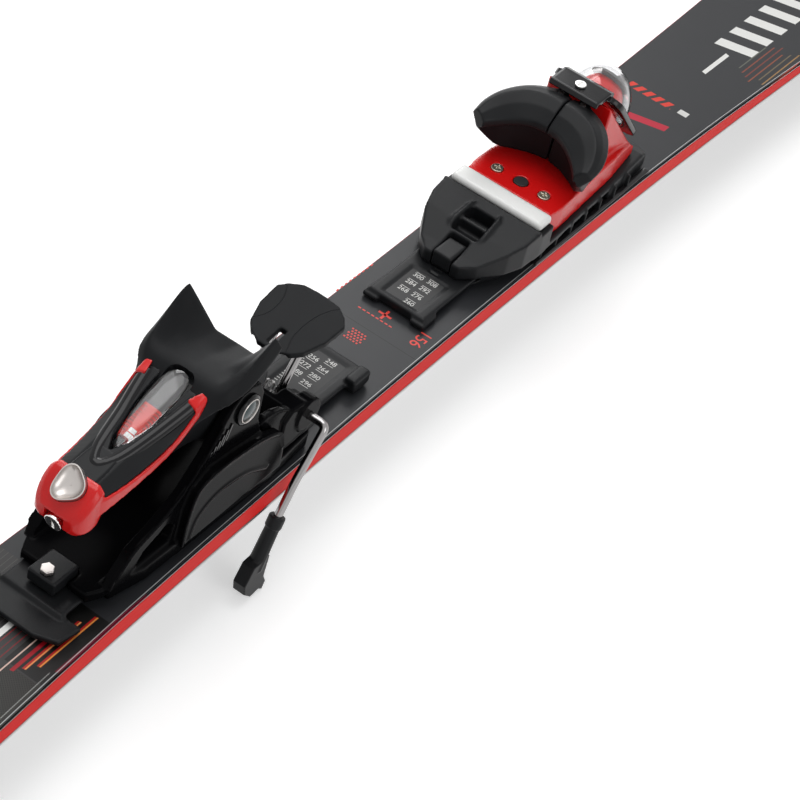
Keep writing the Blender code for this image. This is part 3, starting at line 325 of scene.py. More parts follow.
def new_thing(name: str, mesh: bpy.types.ID) -> Thing:
    """Puts a mesh or a curve into the scene, at the origin.

    Args:
        name: The object's name.
        mesh: Its mesh or curve.

    Returns:
        The new object.
    """
    thing = bpy.data.objects.new(name, mesh)
    bpy.context.scene.collection.objects.link(thing)
    return thing


def cleaned(mesh: Mesh, merge: float = 0.0, outwards: bool = False) -> Mesh:
    """Merges a mesh's points that lie together, and turns its faces outwards.

    Args:
        mesh: The mesh, changed in place.
        merge: Distance within which points become one, in mm, where they are merged.
        outwards: Whether its faces are turned outwards.

    Returns:
        The mesh.
    """
    work = bmesh.new()
    work.from_mesh(mesh)
    if merge:
        bmesh.ops.remove_doubles(work, verts=work.verts, dist=merge * MM)
    if outwards:
        bmesh.ops.recalc_face_normals(work, faces=work.faces)
    work.to_mesh(mesh)
    work.free()
    return mesh


def mesh_thing(name: str, points: Sequence[Vector], faces: Sequence[Sequence[int]]) -> Thing:
    """Makes an object of points and faces, with its normals outwards.

    Args:
        name: The object's name.
        points: Places of the vertices, in metres.
        faces: Vertex numbers of each face.

    Returns:
        The new object.
    """
    mesh = bpy.data.meshes.new(name)
    mesh.from_pydata(list(points), [], [list(face) for face in faces])
    return new_thing(name, cleaned(mesh, 0.001, outwards=True))


def ring_faces(rows: int, count: int, closed: bool = False) -> list[tuple[int, ...]]:
    """The faces between rings of points that follow one another.

    Args:
        rows: How many rings there are.
        count: Points in each ring.
        closed: Whether the last ring joins the first.

    Returns:
        Vertex numbers of each face.
    """
    faces = []
    for row in range(rows if closed else rows - 1):
        start, following = row * count, (row + 1) % rows * count
        for i in range(count):
            j = (i + 1) % count
            faces.append((start + i, start + j, following + j, following + i))
    return faces


def end_faces(rows: int, count: int) -> list[list[int]]:
    """The two faces that close the first and the last ring of points."""
    return [list(range(start, start + count)) for start in (0, (rows - 1) * count)]


def finished_mesh(thing: Thing) -> Mesh:
    """A new plain mesh of an object as its modifiers leave it."""
    bpy.context.view_layer.update()
    return bpy.data.meshes.new_from_object(thing.evaluated_get(bpy.context.evaluated_depsgraph_get()))


def applied(thing: Thing) -> Thing:
    """Turns an object with modifiers into a plain mesh.

    Args:
        thing: The object, changed in place.

    Returns:
        The object.
    """
    mesh, old = finished_mesh(thing), thing.data
    thing.modifiers.clear()
    thing.data = mesh
    if old.users == 0:
        bpy.data.meshes.remove(old)
    return thing


def smooth(thing: Thing, angle: float = 40.0) -> Thing:
    """Shades a mesh smooth but for its sharp edges.

    Args:
        thing: The piece.
        angle: The angle over which an edge stays sharp, in degrees.

    Returns:
        The piece.
    """
    thing.data.shade_smooth()
    thing.data.set_sharp_from_angle(angle=math.radians(angle))
    return thing


def discard(*things: Thing) -> None:
    """Removes helper objects."""
    for thing in things:
        bpy.data.objects.remove(thing)


def turned_about(centre: Vector, angle: float) -> Matrix:
    """The turn by an angle in radians about a line across the ski."""
    place = Matrix.Translation(centre)
    return place @ Matrix.Rotation(angle, 4, "Y") @ place.inverted()


def mirrored(half: Sequence[Sequence[float]]) -> list[tuple[float, ...]]:
    """Half an outline and its image across the ski's middle, where no point is doubled."""
    return list(half) + [(x, -y, *rest) for x, y, *rest in reversed(half) if y]


def spline(points: Sequence[Sequence[float]], steps: int) -> list[Vector]:
    """Points on a smooth curve through the given ones.

    Args:
        points: Points that the curve passes, of two or three numbers.
        steps: Steps from each point to the next.

    Returns:
        The curve's points, the last one included.
    """
    held = [Vector(point) for point in points]
    ends = [held[0] * 2 - held[1], *held, held[-1] * 2 - held[-2]]
    found = []
    for before, first, last, after in zip(ends, ends[1:], ends[2:], ends[3:]):
        for i in range(steps):
            t = i / steps
            found.append(
                first
                + (last - before) * (0.5 * t)
                + (before * 2 - first * 5 + last * 4 - after) * (0.5 * t * t)
                + (first * 3 - before - last * 3 + after) * (0.5 * t**3)
            )
    return found + [held[-1]]


def dense_rings(rings: Sequence[Sequence[Sequence[float]]], steps: int) -> list[list[Vector]]:
    """Rings with smooth steps from each one to the next, point by point."""
    lines = [spline([ring[i] for ring in rings], steps) for i in range(len(rings[0]))]
    return [list(ring) for ring in zip(*lines)]


def skin(name: str, rings: Sequence[Sequence[Sequence[float]]], axes: tuple[int, int] = (1, 2)) -> Thing:
    """A closed skin over rings in mm above the deck.

    Args:
        name: The object's name.
        rings: Rings with the same number of points.
        axes: The two axes on which the end caps are filled.

    Returns:
        The skin as an object.
    """
    count = len(rings[0])
    points = [above_deck(point) for ring in rings for point in ring]
    faces: list[Sequence[int]] = [*ring_faces(len(rings), count)]
    for start in (0, (len(rings) - 1) * count):
        ring = points[start : start + count]
        flat = [Vector((point[axes[0]], point[axes[1]], 0.0)) for point in ring]
        faces += [[start + i for i in face] for face in tessellate_polygon([flat])]
    return mesh_thing(name, points, faces)


def slab(name: str, outline: Sequence[Flat], plane: Plane, low: float, high: float) -> Thing:
    """A flat outline in mm, thickened along the axis that its plane leaves out.

    Args:
        name: The object's name.
        outline: The outline's points in the plane's own two axes.
        plane: The plane of the outline.
        low: Where the thickness starts.
        high: Where it ends.

    Returns:
        The slab as an object.
    """
    if plane is Plane.PLAN:
        return skin(name, [[(u, v, w) for u, v in outline] for w in (low, high)], (0, 1))
    return skin(name, [[(u, w, v) for u, v in outline] for w in (low, high)], (0, 2))


def block(name: str, low: Point, high: Point) -> Thing:
    """A box between its lowest and its highest corner, in mm above the deck."""
    outline = [(low[0], low[1]), (high[0], low[1]), (high[0], high[1]), (low[0], high[1])]
    return slab(name, outline, Plane.PLAN, low[2], high[2])


def tube(name: str, route: Sequence[Sequence[float]], radius: float, sides: int = 16) -> Thing:
    """A round tube along a route in mm above the deck, with closed ends.

    Args:
        name: The object's name.
        route: Points along the middle of the tube.
        radius: The tube's radius.
        sides: Points round the tube.

    Returns:
        The tube as an object.
    """
    held = [Vector(point) for point in route]
    ahead = (held[1] - held[0]).normalized()
    side = ahead.orthogonal().normalized()
    rings = []
    for i, centre in enumerate(held):
        before, after = held[max(i - 1, 0)], held[min(i + 1, len(held) - 1)]
        along = (after - before).normalized()
        side = (side - along * side.dot(along)).normalized()
        other = along.cross(side)
        turn = [2 * math.pi * k / sides for k in range(sides)]
        rings.append([tuple(centre + (side * math.cos(a) + other * math.sin(a)) * radius) for a in turn])
    points = [above_deck(point) for ring in rings for point in ring]
    return mesh_thing(name, points, ring_faces(len(rings), sides) + end_faces(len(rings), sides))


def turned(name: str, profile: Sequence[Flat], matrix: Matrix, steps: int = 48) -> Thing:
    """A profile of (radius, height) in mm, turned about Z and placed by a matrix.

    Args:
        name: The object's name.
        profile: Points from the axis round to the axis.
        matrix: The place of the turned form.
        steps: Steps round the axis.

    Returns:
        The turned form as an object.
    """
    points, faces = [], []
    for k in range(steps):
        angle = 2 * math.pi * k / steps
        for radius, height in profile:
            local = Vector((radius * math.cos(angle), radius * math.sin(angle), height)) * MM
            points.append(matrix @ local)
    rows = len(profile)
    for k in range(steps):
        following = (k + 1) % steps
        for i in range(rows - 1):
            faces.append((k * rows + i, following * rows + i, following * rows + i + 1, k * rows + i + 1))
    return smooth(mesh_thing(name, points, faces))


def merged_copy(node: str) -> Thing:
    """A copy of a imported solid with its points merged, as a start for a finer piece.

    Args:
        node: The solid's name.

    Returns:
        The copy, as an object of its own.
    """
    mesh = cleaned(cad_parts[node].data.copy(), 0.002)
    mesh.materials.clear()
    return new_thing(f"{node}_form", mesh)


def cut(thing: Thing, *others: Thing) -> Thing:
    """Cuts helpers out of a piece and removes them.

    Args:
        thing: The piece.
        others: The helpers.

    Returns:
        The piece.
    """
    for other in others:
        modifier = thing.modifiers.new("Cut", "BOOLEAN")
        modifier.operation = "DIFFERENCE"
        modifier.solver = "EXACT"
        modifier.object = other
    applied(thing)
    discard(*others)
    return thing


def fused(thing: Thing, others: Sequence[Thing]) -> Thing:
    """Puts helpers' meshes into a piece's mesh, which a later moulding makes one body.

    Args:
        thing: The piece.
        others: The helpers, which are removed.

    Returns:
        The piece.
    """
    work = bmesh.new()
    work.from_mesh(thing.data)
    for other in others:
        work.from_mesh(other.data)
    work.to_mesh(thing.data)
    work.free()
    discard(*others)
    return thing


def moulded(thing: Thing, grid: float, passes: int) -> Thing:
    """Gives a piece the soft edges of a moulding.

    Args:
        thing: The piece, as one or more closed bodies.
        grid: Size of the new mesh's squares, in mm.
        passes: Smoothing passes, which set how round its edges are.

    Returns:
        The piece.
    """
    remesh = thing.modifiers.new("Remesh", "REMESH")
    remesh.mode = "VOXEL"
    remesh.voxel_size = grid * MM
    soften = thing.modifiers.new("Soften", "SMOOTH")
    soften.factor = 0.5
    soften.iterations = passes
    applied(thing)
    thing.data.shade_smooth()
    return thing


LENGTHS = ("rear", "middle", "front")
# Stations of a ski layer lie further apart than this, in mm, and the points of one station nearer
# together than the second. Between the two lies the other face of a joint, which is left out.
STATION_PITCH = 1.0
STATION_PLAY = 0.1


def layer_stations(nodes: Sequence[str]) -> list[tuple[float, list[Vector]]]:
    """Reads the sections of a ski layer that is packed in several lengths.

    Args:
        nodes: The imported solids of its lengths.

    Returns:
        Each station's x and its points, in mm, from the tail to the tip.
    """
    points = [vertex.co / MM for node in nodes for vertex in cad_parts[node].data.vertices]
    found: list[tuple[float, list[Vector]]] = []
    for point in sorted(points, key=lambda spot: spot.x):
        if not found or point.x - found[-1][0] > STATION_PITCH:
            found.append((point.x, [point]))
        elif point.x - found[-1][0] < STATION_PLAY:
            found[-1][1].append(point)
    return found


def section(points: Sequence[Vector]) -> list[Point]:
    """The corners of a layer at one station, in order round it.

    Args:
        points: The station's points, in mm above the base.

    Returns:
        Its corners, in mm above the deck.
    """
    ys, zs = [point.y for point in points], [point.z for point in points]
    middle = ((min(ys) + max(ys)) / 2, (min(zs) + max(zs)) / 2)
    corners = {(round(point.y, 2), round(point.z, 2)) for point in points}
    ordered = sorted(corners, key=lambda spot: math.atan2(spot[1] - middle[1], spot[0] - middle[0]))
    return [(points[0].x, y, z - DECK) for y, z in ordered]


class BarRow:
    """Rows of small bars with bevelled ends, made with one Geometry Nodes tree."""

    def __init__(self) -> None:
        """Builds the tree once, with named inputs for its sizes."""
        tree = bpy.data.node_groups.new("bar_row", "GeometryNodeTree")
        face = tree.interface
        self.inputs = {}
        for label, kind in (
            ("Count", "NodeSocketInt"),
            ("First", "NodeSocketVector"),
            ("Pitch", "NodeSocketVector"),
            ("Size", "NodeSocketVector"),
            ("Turn", "NodeSocketVector"),
            ("Material", "NodeSocketMaterial"),
        ):
            self.inputs[label] = face.new_socket(label, in_out="INPUT", socket_type=kind).identifier
        face.new_socket("Geometry", in_out="OUTPUT", socket_type="NodeSocketGeometry")
        nodes, links = tree.nodes, tree.links
        taken, given = nodes.new("NodeGroupInput"), nodes.new("NodeGroupOutput")
        line = nodes.new("GeometryNodeMeshLine")
        links.new(taken.outputs["Count"], line.inputs["Count"])
        links.new(taken.outputs["First"], line.inputs["Start Location"])
        links.new(taken.outputs["Pitch"], line.inputs["Offset"])
        bar = nodes.new("GeometryNodeMeshCube")
        links.new(taken.outputs["Size"], bar.inputs["Size"])
        spread = nodes.new("GeometryNodeInstanceOnPoints")
        links.new(line.outputs["Mesh"], spread.inputs["Points"])
        links.new(bar.outputs["Mesh"], spread.inputs["Instance"])
        links.new(taken.outputs["Turn"], spread.inputs["Rotation"])
        whole = nodes.new("GeometryNodeRealizeInstances")
        links.new(spread.outputs["Instances"], whole.inputs["Geometry"])
        dress = nodes.new("GeometryNodeSetMaterial")
        links.new(whole.outputs["Geometry"], dress.inputs["Geometry"])
        links.new(taken.outputs["Material"], dress.inputs["Material"])
        links.new(dress.outputs["Geometry"], given.inputs["Geometry"])
        self.tree = tree

    def make(
        self,
        name: str,
        count: int,
        first: Point,
        pitch: Point,
        size: Point,
        finish: Finish,
        turn: Point = (0.0, 0.0, 0.0),
    ) -> Thing:
        """Makes one row of bars.

        Args:
            name: The piece's name.
            count: How many bars.
            first: Middle of the first bar, in mm above the deck.
            pitch: Step from one bar to the next, in mm.
            size: Size of a bar, in mm.
            finish: The bars' finish.
            turn: Turn of each bar about X, Y and Z, in radians.

        Returns:
            The row as a plain mesh object.
        """
        thing = new_thing(name, bpy.data.meshes.new(name))
        rows = thing.modifiers.new("Bars", "NODES")
        rows.node_group = self.tree
        rows[self.inputs["Count"]] = count
        rows[self.inputs["First"]] = tuple(above_deck(first))
        rows[self.inputs["Pitch"]] = tuple(value * MM for value in pitch)
        rows[self.inputs["Size"]] = tuple(value * MM for value in size)
        rows[self.inputs["Turn"]] = turn
        rows[self.inputs["Material"]] = finish.material()
        return applied(thing)


BARS = BarRow()


def show(thing: Thing, finish: Finish, body: str, *nodes: str) -> Thing:
    """Dresses a finished piece, gives it to its body and reports it.

    Args:
        thing: The piece, finished and in place.
        finish: Its finish, or the finish whose slot it takes where it has a material.
        body: The body that it rides on.
        nodes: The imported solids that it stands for.

    Returns:
        The piece.
    """
    if not thing.data.materials:
        thing.data.materials.append(finish.material())
    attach(thing, body)
    if nodes:
        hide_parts(*nodes)
    LOG.info("%s rides on %s, %d points", thing.name, body, len(thing.data.vertices))
    return thing


def dress(node: str, finish: Finish) -> None:
    """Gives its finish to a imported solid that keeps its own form.

    Args:
        node: The solid's name.
        finish: Its finish.
    """
    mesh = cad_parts[node].data
    mesh.materials.clear()
    mesh.materials.append(finish.material())
    LOG.info("%s keeps its solid", node)


def refined(node: str, finish: Finish, body: str, grid: float, passes: int) -> Thing:
    """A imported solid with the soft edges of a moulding, in its place."""
    return show(moulded(merged_copy(node), grid, passes), finish, body, node)


# A digit's height as a share of its font's size, and half the thickness of a printed number in mm.
DIGIT_SHARE = 0.7
PRINT_DEPTH = 0.02


def number(
    name: str, text: str, middle: Point, height: float, turn: float, finish: Finish, body: str
) -> Thing:
    """A plain printed number, a hair above what carries it.

    Args:
        name: The piece's name.
        text: Digits only.
        middle: The number's middle, in mm above the deck.
        height: Height of its digits in mm.
        turn: Direction of its line of digits from +X, in degrees.
        finish: Its finish.
        body: The body that it rides on.

    Returns:
        The number as a thin mesh.
    """
    curve = bpy.data.curves.new(name, "FONT")
    curve.body = text
    curve.align_x = "CENTER"
    curve.align_y = "CENTER"
    curve.size = height * MM / DIGIT_SHARE
    curve.extrude = PRINT_DEPTH * MM
    thing = new_thing(f"{name}_text", curve)
    mesh = finished_mesh(thing)
    discard(thing)
    mesh.transform(Matrix.Translation(above_deck(middle)) @ Matrix.Rotation(math.radians(turn), 4, "Z"))
    mesh.materials.clear()
    return show(new_thing(name, mesh), finish, body)


class Ink:
    """Prints marks over a material's colour, as masks on Object coordinates in mm."""

    def __init__(self, material: bpy.types.Material) -> None:
        """Reads the place of each point and starts from the material's own colour.

        Args:
            material: A material whose base colour comes from a node.
        """
        self.tree = material.node_tree
        self.shader = self.tree.nodes["Principled BSDF"]
        place = self.tree.nodes.new("ShaderNodeTexCoord").outputs["Object"]
        split = self.tree.nodes.new("ShaderNodeSeparateXYZ")
        self.tree.links.new(scaled(self.tree, place, 1.0 / MM), split.inputs[0])
        self.x, self.y, self.z = split.outputs
        self.colour = self.shader.inputs["Base Color"].links[0].from_socket

    def math(self, operation: str, *values: float | Socket) -> Socket:
        """A Math node's result."""
        return reckoned(self.tree, "ShaderNodeMath", operation, *values)

    def between(self, value: Socket, low: float, high: float) -> Socket:
        """One where a value lies between two numbers, and otherwise none."""
        above = self.math("GREATER_THAN", value, low)
        return self.both(above, self.math("LESS_THAN", value, high))

    def repeat(self, value: Socket, pitch: float, share: float) -> Socket:
        """One on the first part of each pitch of a value, and none on its rest."""
        return self.between(self.math("FRACT", self.math("MULTIPLY", value, 1.0 / pitch)), 0.0, share)

    def leaning(self, slope: float) -> Socket:
        """The place along the ski, moved forward by a slope times the place across it."""
        return self.math("MULTIPLY_ADD", self.y, slope, self.x)

    def both(self, *masks: Socket) -> Socket:
        """The product of masks."""
        return functools.reduce(functools.partial(self.math, "MULTIPLY"), masks)

    def paint(self, mask: Socket, colour: Colour) -> None:
        """Lays a colour over what is there.

        Args:
            mask: One where the colour goes.
            colour: The colour.
        """
        mix = self.tree.nodes.new("ShaderNodeMix")
        mix.data_type = "RGBA"
        self.tree.links.new(mask, mix.inputs["Factor"])
        self.tree.links.new(self.colour, mix.inputs["A"])
        mix.inputs["B"].default_value = (*colour, 1.0)
        self.colour = mix.outputs["Result"]

    def patch(self, along: Socket, reach: Flat, across: Flat, colour: Colour, *more: Socket) -> None:
        """Paints a field of the deck.

        Args:
            along: The place along the ski, straight or leaning.
            reach: Where the field starts and ends along it.
            across: Its right and its left side.
            colour: Its colour.
            more: Further masks.
        """
        self.paint(self.both(self.between(along, *reach), self.between(self.y, *across), *more), colour)

    def dry(self) -> None:
        """Gives the printed colour to the shader."""
        self.tree.links.new(self.colour, self.shader.inputs["Base Color"])


INK_BLACK = (0.004, 0.004, 0.004)
INK_WHITE = (0.68, 0.68, 0.66)
INK_GREY = (0.6, 0.6, 0.58)
INK_ORANGE = (0.6, 0.035, 0.02)
INK_CRIMSON = (0.42, 0.008, 0.03)
WEAVE_SHADES = ((0.024, 0.023, 0.02), (0.006, 0.006, 0.006))
# One printed line along the deck: first and last x, y, half its width, and its colour.
TAIL_LINES = (
    (-372.0, -314.0, -17.2, 0.4, (0.6, 0.42, 0.36)),
    (-354.0, -310.0, -21.3, 1.1, (0.3, 0.004, 0.012)),
    (-350.0, -307.0, -24.6, 0.5, (0.42, 0.012, 0.01)),
    (-350.0, -307.0, -25.7, 0.45, (0.75, 0.25, 0.08)),
    (-345.0, -300.0, -28.9, 0.5, (0.42, 0.012, 0.01)),
    (-345.0, -300.0, -30.0, 0.45, (0.75, 0.25, 0.05)),
    (-344.0, -272.0, -38.2, 0.9, (0.16, 0.004, 0.02)),
    (-344.0, -318.0, -4.6, 0.3, (0.2, 0.01, 0.015)),
    (-349.0, -320.0, -8.2, 0.25, (0.14, 0.008, 0.012)),
    (-352.0, -318.0, -11.6, 0.3, (0.17, 0.01, 0.015)),
)
# The colours of a bundle of fine lines, from left to right.
FINE_COLOURS = (
    (0.1, 0.105, 0.085),
    (0.2, 0.05, 0.03),
    (0.16, 0.035, 0.025),
    (0.22, 0.06, 0.03),
    (0.13, 0.1, 0.06),
    (0.28, 0.16, 0.06),
    (0.34, 0.06, 0.035),
    (0.3, 0.19, 0.07),
)


@dataclass
class SkiBody:
    """The ski itself: printed deck, sidewalls, edges, core and base."""

    bevel: float = 1.8
    rim_steps: int = 4
    rim_edge: float = 0.25
    rim_foot: float = 0.3
    rim_lean: float = 0.12
    top_shares: tuple[float, ...] = (0.08, 0.3, 0.5, 0.7, 0.92)
    seam_x: float = -10.4
    far_print_x: float = -290.0
    print_slant: float = 0.28
    fine_slant: float = 0.9
    fine_pitch: float = 4.1
    fine_half: float = 0.45
    solids: dict[str, Finish] = field(
        default_factory=lambda: {
            "metal_sheet": ALLOY,
            "wood_core": WOOD,
            "edge_left": EDGE_STEEL,
            "edge_right": EDGE_STEEL,
            "tip_spacer": BASE,
            "tail_guard": BASE,
        }
    )

    def build(self) -> None:
        """Builds the deck shell, base and sidewalls, and dresses the layers between them."""
        for node, finish in self.solids.items():
            dress(node, finish)
        layers = {"base_sheet": BASE, "sidewall_left": SIDEWALL, "sidewall_right": SIDEWALL}
        for layer, finish in layers.items():
            lengths = [f"{layer}_{part}" for part in LENGTHS]
            rings = [section(points) for _, points in layer_stations(lengths)]
            show(smooth(skin(f"{layer}_whole", rings), 30.0), finish, "ski", *lengths)
        deck = self.deck_shell()
        self.print_deck(deck.data.materials[0])
        show(deck, DECK_PRINT, "ski", *(f"top_sheet_{part}" for part in LENGTHS))
        number("length_mark", "156", (6.0, -24.6, 0.06), 7.6, 180.0, RED_PRINT, "ski")
        self.small_marks()

    def deck_stations(self) -> list[tuple[float, float, float, float]]:
        """Reads the top sheet's stations.

        Returns:
            Each one's x, half width, low and high, in mm above the base.
        """
        found = []
        for x, points in layer_stations([f"top_sheet_{part}" for part in LENGTHS]):
            heights = [point.z for point in points]
            found.append((x, max(point.y for point in points), min(heights), max(heights)))
        return found

    def deck_section(self, half: float, low: float, high: float) -> list[Point]:
        """The deck's section at one station.

        Args:
            half: Half its width.
            low: The height of its underside.
            high: The height of its top.

        Returns:
            The y, the height and the distance from the rim of each point round it.
        """
        reach, steps, foot = min(self.bevel, half * 0.5), self.rim_steps, self.rim_foot
        row = [(-half, low, 0.0), (-half, low + self.rim_edge, 0.1)]
        for k in range(steps + 1):
            angle = math.pi / 2 * k / steps
            across = half - reach * (1 - math.sin(angle)) - self.rim_lean * k
            rise = foot + (high - low - foot) * (1 - math.cos(angle))
            row.append((-across, low + rise, reach * k / steps))
        crest = -row[-1][0]
        top = []
        for share in self.top_shares:
            top.append((2 * crest * share - crest, high, min(share, 1 - share) * 2 * crest + reach))
        return row + top + [(-y, z, rim) for y, z, rim in reversed(row)]

    def deck_shell(self) -> Thing:
        """Builds the printed deck with a rounded rim, and each point's distance from the rim.

        Returns:
            The deck shell, with its own material.
        """
        points, rims = [], []
        stations = spline(self.deck_stations(), 3)
        for x, half, low, high in stations:
            for y, z, rim in self.deck_section(half, low, high):
                points.append(Vector((x, y, z)) * MM)
                rims.append(rim)
        rows = len(stations)
        count = len(points) // rows
        mesh = bpy.data.meshes.new("deck_shell")
        mesh.from_pydata(points, [], ring_faces(rows, count) + end_faces(rows, count))
        mesh.attributes.new("rim", "FLOAT", "POINT").data.foreach_set("value", rims)
        deck = smooth(new_thing("deck_shell", cleaned(mesh, outwards=True)), 50.0)
        deck.data.materials.append(DECK_PRINT.material())
        return deck

    def print_deck(self, material: bpy.types.Material) -> None:
        """Prints stripes, bars and textures on the deck.

        Args:
            material: The deck's material, which gets the printed colour.
        """
        ink = Ink(material)
        x, y, slanted = ink.x, ink.y, ink.leaning(self.print_slant)
        behind = ink.math("LESS_THAN", x, self.far_print_x)
        ink.paint(behind, (0.026, 0.025, 0.025))
        ink.patch(x, (-345.0, self.far_print_x), (-60.0, -14.0), INK_BLACK)
        comb = ink.repeat(y, 1.0 / 0.32, 0.13)
        ink.paint(ink.both(behind, ink.between(y, 2.5, 50.0), comb), (0.06, 0.058, 0.055))
        self.print_weave(ink)
        for first, last, centre, half, colour in TAIL_LINES:
            ink.patch(slanted, (first, last), (centre - half, centre + half), colour)
        self.print_capsule(ink, (-470.0, -302.0), -1.2, 1.75, (0.82, 0.82, 0.8))
        ink.paint(ink.between(x, self.seam_x - 0.25, self.seam_x + 0.25), INK_BLACK)
        ink.patch(slanted, (286.5, 293.5), (-20.0, 8.0), INK_CRIMSON)
        chevron = ink.repeat(ink.math("MULTIPLY_ADD", x, 0.45, y), 1.0 / 0.14, 0.6)
        ink.patch(x, (316.0, 323.0), (-10.0, 24.0), INK_ORANGE, chevron)
        ink.patch(x, (317.0, 322.5), (-22.0, -15.0), INK_GREY)
        ink.patch(ink.leaning(-0.22), (373.0, 406.0), (-5.4, -2.2), INK_WHITE)
        bold = ink.repeat(ink.math("ADD", slanted, -412.0), 21.0, 0.48)
        ink.patch(slanted, (412.0, 517.0), (-17.0, 9.5), INK_WHITE, bold)
        for reach, lowest in (((398.0, 436.0), -46.0), ((560.0, 690.0), -30.0), ((-640.0, -500.0), 2.0)):
            self.print_fine_lines(ink, reach, lowest)
        self.print_rim(ink)
        ink.dry()

    @staticmethod
    def print_rim(ink: Ink) -> None:
        """Prints the thin lines that follow the deck's rim.

        Args:
            ink: The deck's ink.
        """
        node = ink.tree.nodes.new("ShaderNodeAttribute")
        node.attribute_name = "rim"
        rim = node.outputs["Fac"]
        ink.paint(ink.both(ink.between(rim, 1.6, 2.1), ink.between(ink.y, 0.0, 80.0)), (0.3, 0.01, 0.008))
        tail = ink.between(ink.x, -640.0, -336.0)
        ink.paint(ink.both(ink.between(rim, 5.0, 5.5), tail, ink.repeat(ink.x, 1.25, 0.55)), (0.4, 0.4, 0.38))
        ink.paint(ink.both(ink.between(rim, 2.6, 3.0), ink.between(ink.y, -80.0, 0.0)), (0.5, 0.5, 0.5))

    @staticmethod
    def print_weave(ink: Ink) -> None:
        """Prints the woven field behind the tail's lines.

        Args:
            ink: The deck's ink.
        """
        reach, across = (-560.0, -346.0), (-60.0, -16.0)
        along = ink.math("SINE", ink.math("MULTIPLY", ink.x, 4.2))
        aside = ink.math("SINE", ink.math("MULTIPLY", ink.y, 3.4))
        knot = ink.math("GREATER_THAN", ink.math("MULTIPLY", along, aside), 0.18)
        ink.patch(ink.x, reach, across, WEAVE_SHADES[0])
        ink.patch(ink.x, reach, across, WEAVE_SHADES[1], knot)

    @staticmethod
    def print_capsule(ink: Ink, reach: Flat, centre: float, half: float, colour: Colour) -> None:
        """Prints a stripe whose front end is round.

        Args:
            ink: The deck's ink.
            reach: Where the stripe starts and ends along the ski.
            centre: The y of its middle.
            half: Half its width.
            colour: Its colour.
        """
        ahead = ink.math("MAXIMUM", ink.math("SUBTRACT", ink.x, reach[1] - half), 0.0)
        aside = ink.math("SUBTRACT", ink.y, centre)
        square = ink.math("ADD", ink.math("MULTIPLY", ahead, ahead), ink.math("MULTIPLY", aside, aside))
        inside = ink.math("LESS_THAN", square, half * half)
        ink.paint(ink.both(inside, ink.math("GREATER_THAN", ink.x, reach[0])), colour)

    def print_fine_lines(self, ink: Ink, reach: Flat, lowest: float) -> None:
        """Prints a bundle of fine lines with slanted ends.

        Args:
            ink: The deck's ink.
            reach: Where the bundle starts and ends along the ski.
            lowest: The y of its line furthest to the right.
        """
        slanted = ink.leaning(self.fine_slant)
        for i, colour in enumerate(FINE_COLOURS):
            centre = lowest + self.fine_pitch * (len(FINE_COLOURS) - 1 - i)
            shift = self.fine_slant * centre
            ends = (reach[0] + shift - 3.0 * i % 11.0, reach[1] + shift + 5.0 * i % 13.0)
            ink.patch(slanted, ends, (centre - self.fine_half, centre + self.fine_half), colour)

    @staticmethod
    def small_marks() -> None:
        """Adds the small plain red marks round the boot centre."""
        rows = (
            ("edge_marks", 9, (4.0, 34.6, 0.05), (4.2, -0.12, 0.0), (2.2, 0.9, 0.04)),
            ("cross_marks", 8, (1.6, 16.5, 0.05), (0.0, -3.2, 0.0), (0.9, 2.0, 0.04)),
            ("centre_mark", 1, (7.5, 2.2, 0.05), (1.0, 0.0, 0.0), (1.6, 9.0, 0.04)),
            ("centre_mark_across", 1, (7.5, 2.2, 0.05), (1.0, 0.0, 0.0), (9.0, 1.6, 0.04)),
        )
        for name, count, first, pitch, size in rows:
            show(BARS.make(name, count, first, pitch, size, RED_PRINT), RED_PRINT, "ski")
        for i in range(5):
            start = (-25.0 + 2.2 * i, 8.2 - (i % 2) * 1.1, 0.05)
            row = BARS.make(f"square_marks_{i}", 5, start, (0.0, -2.2, 0.0), (1.2, 1.2, 0.04), RED_PRINT)
            show(row, RED_PRINT, "ski")


# A column of sole lengths on a rail: its first number, the step to the next, how many there are,
# the first one's x, the pitch along the rail, y, and the side of a number on which its line lies.
SCALE_COLUMNS = (
    (300, -16, 3, 43.9, -8.0, 5.0, 1.0),
    (308, -16, 4, 44.6, -8.0, -4.4, 1.0),
    (248, 16, 4, -55.2, -8.0, -3.4, -1.0),
    (256, 16, 3, -59.2, -8.0, 6.2, -1.0),
)


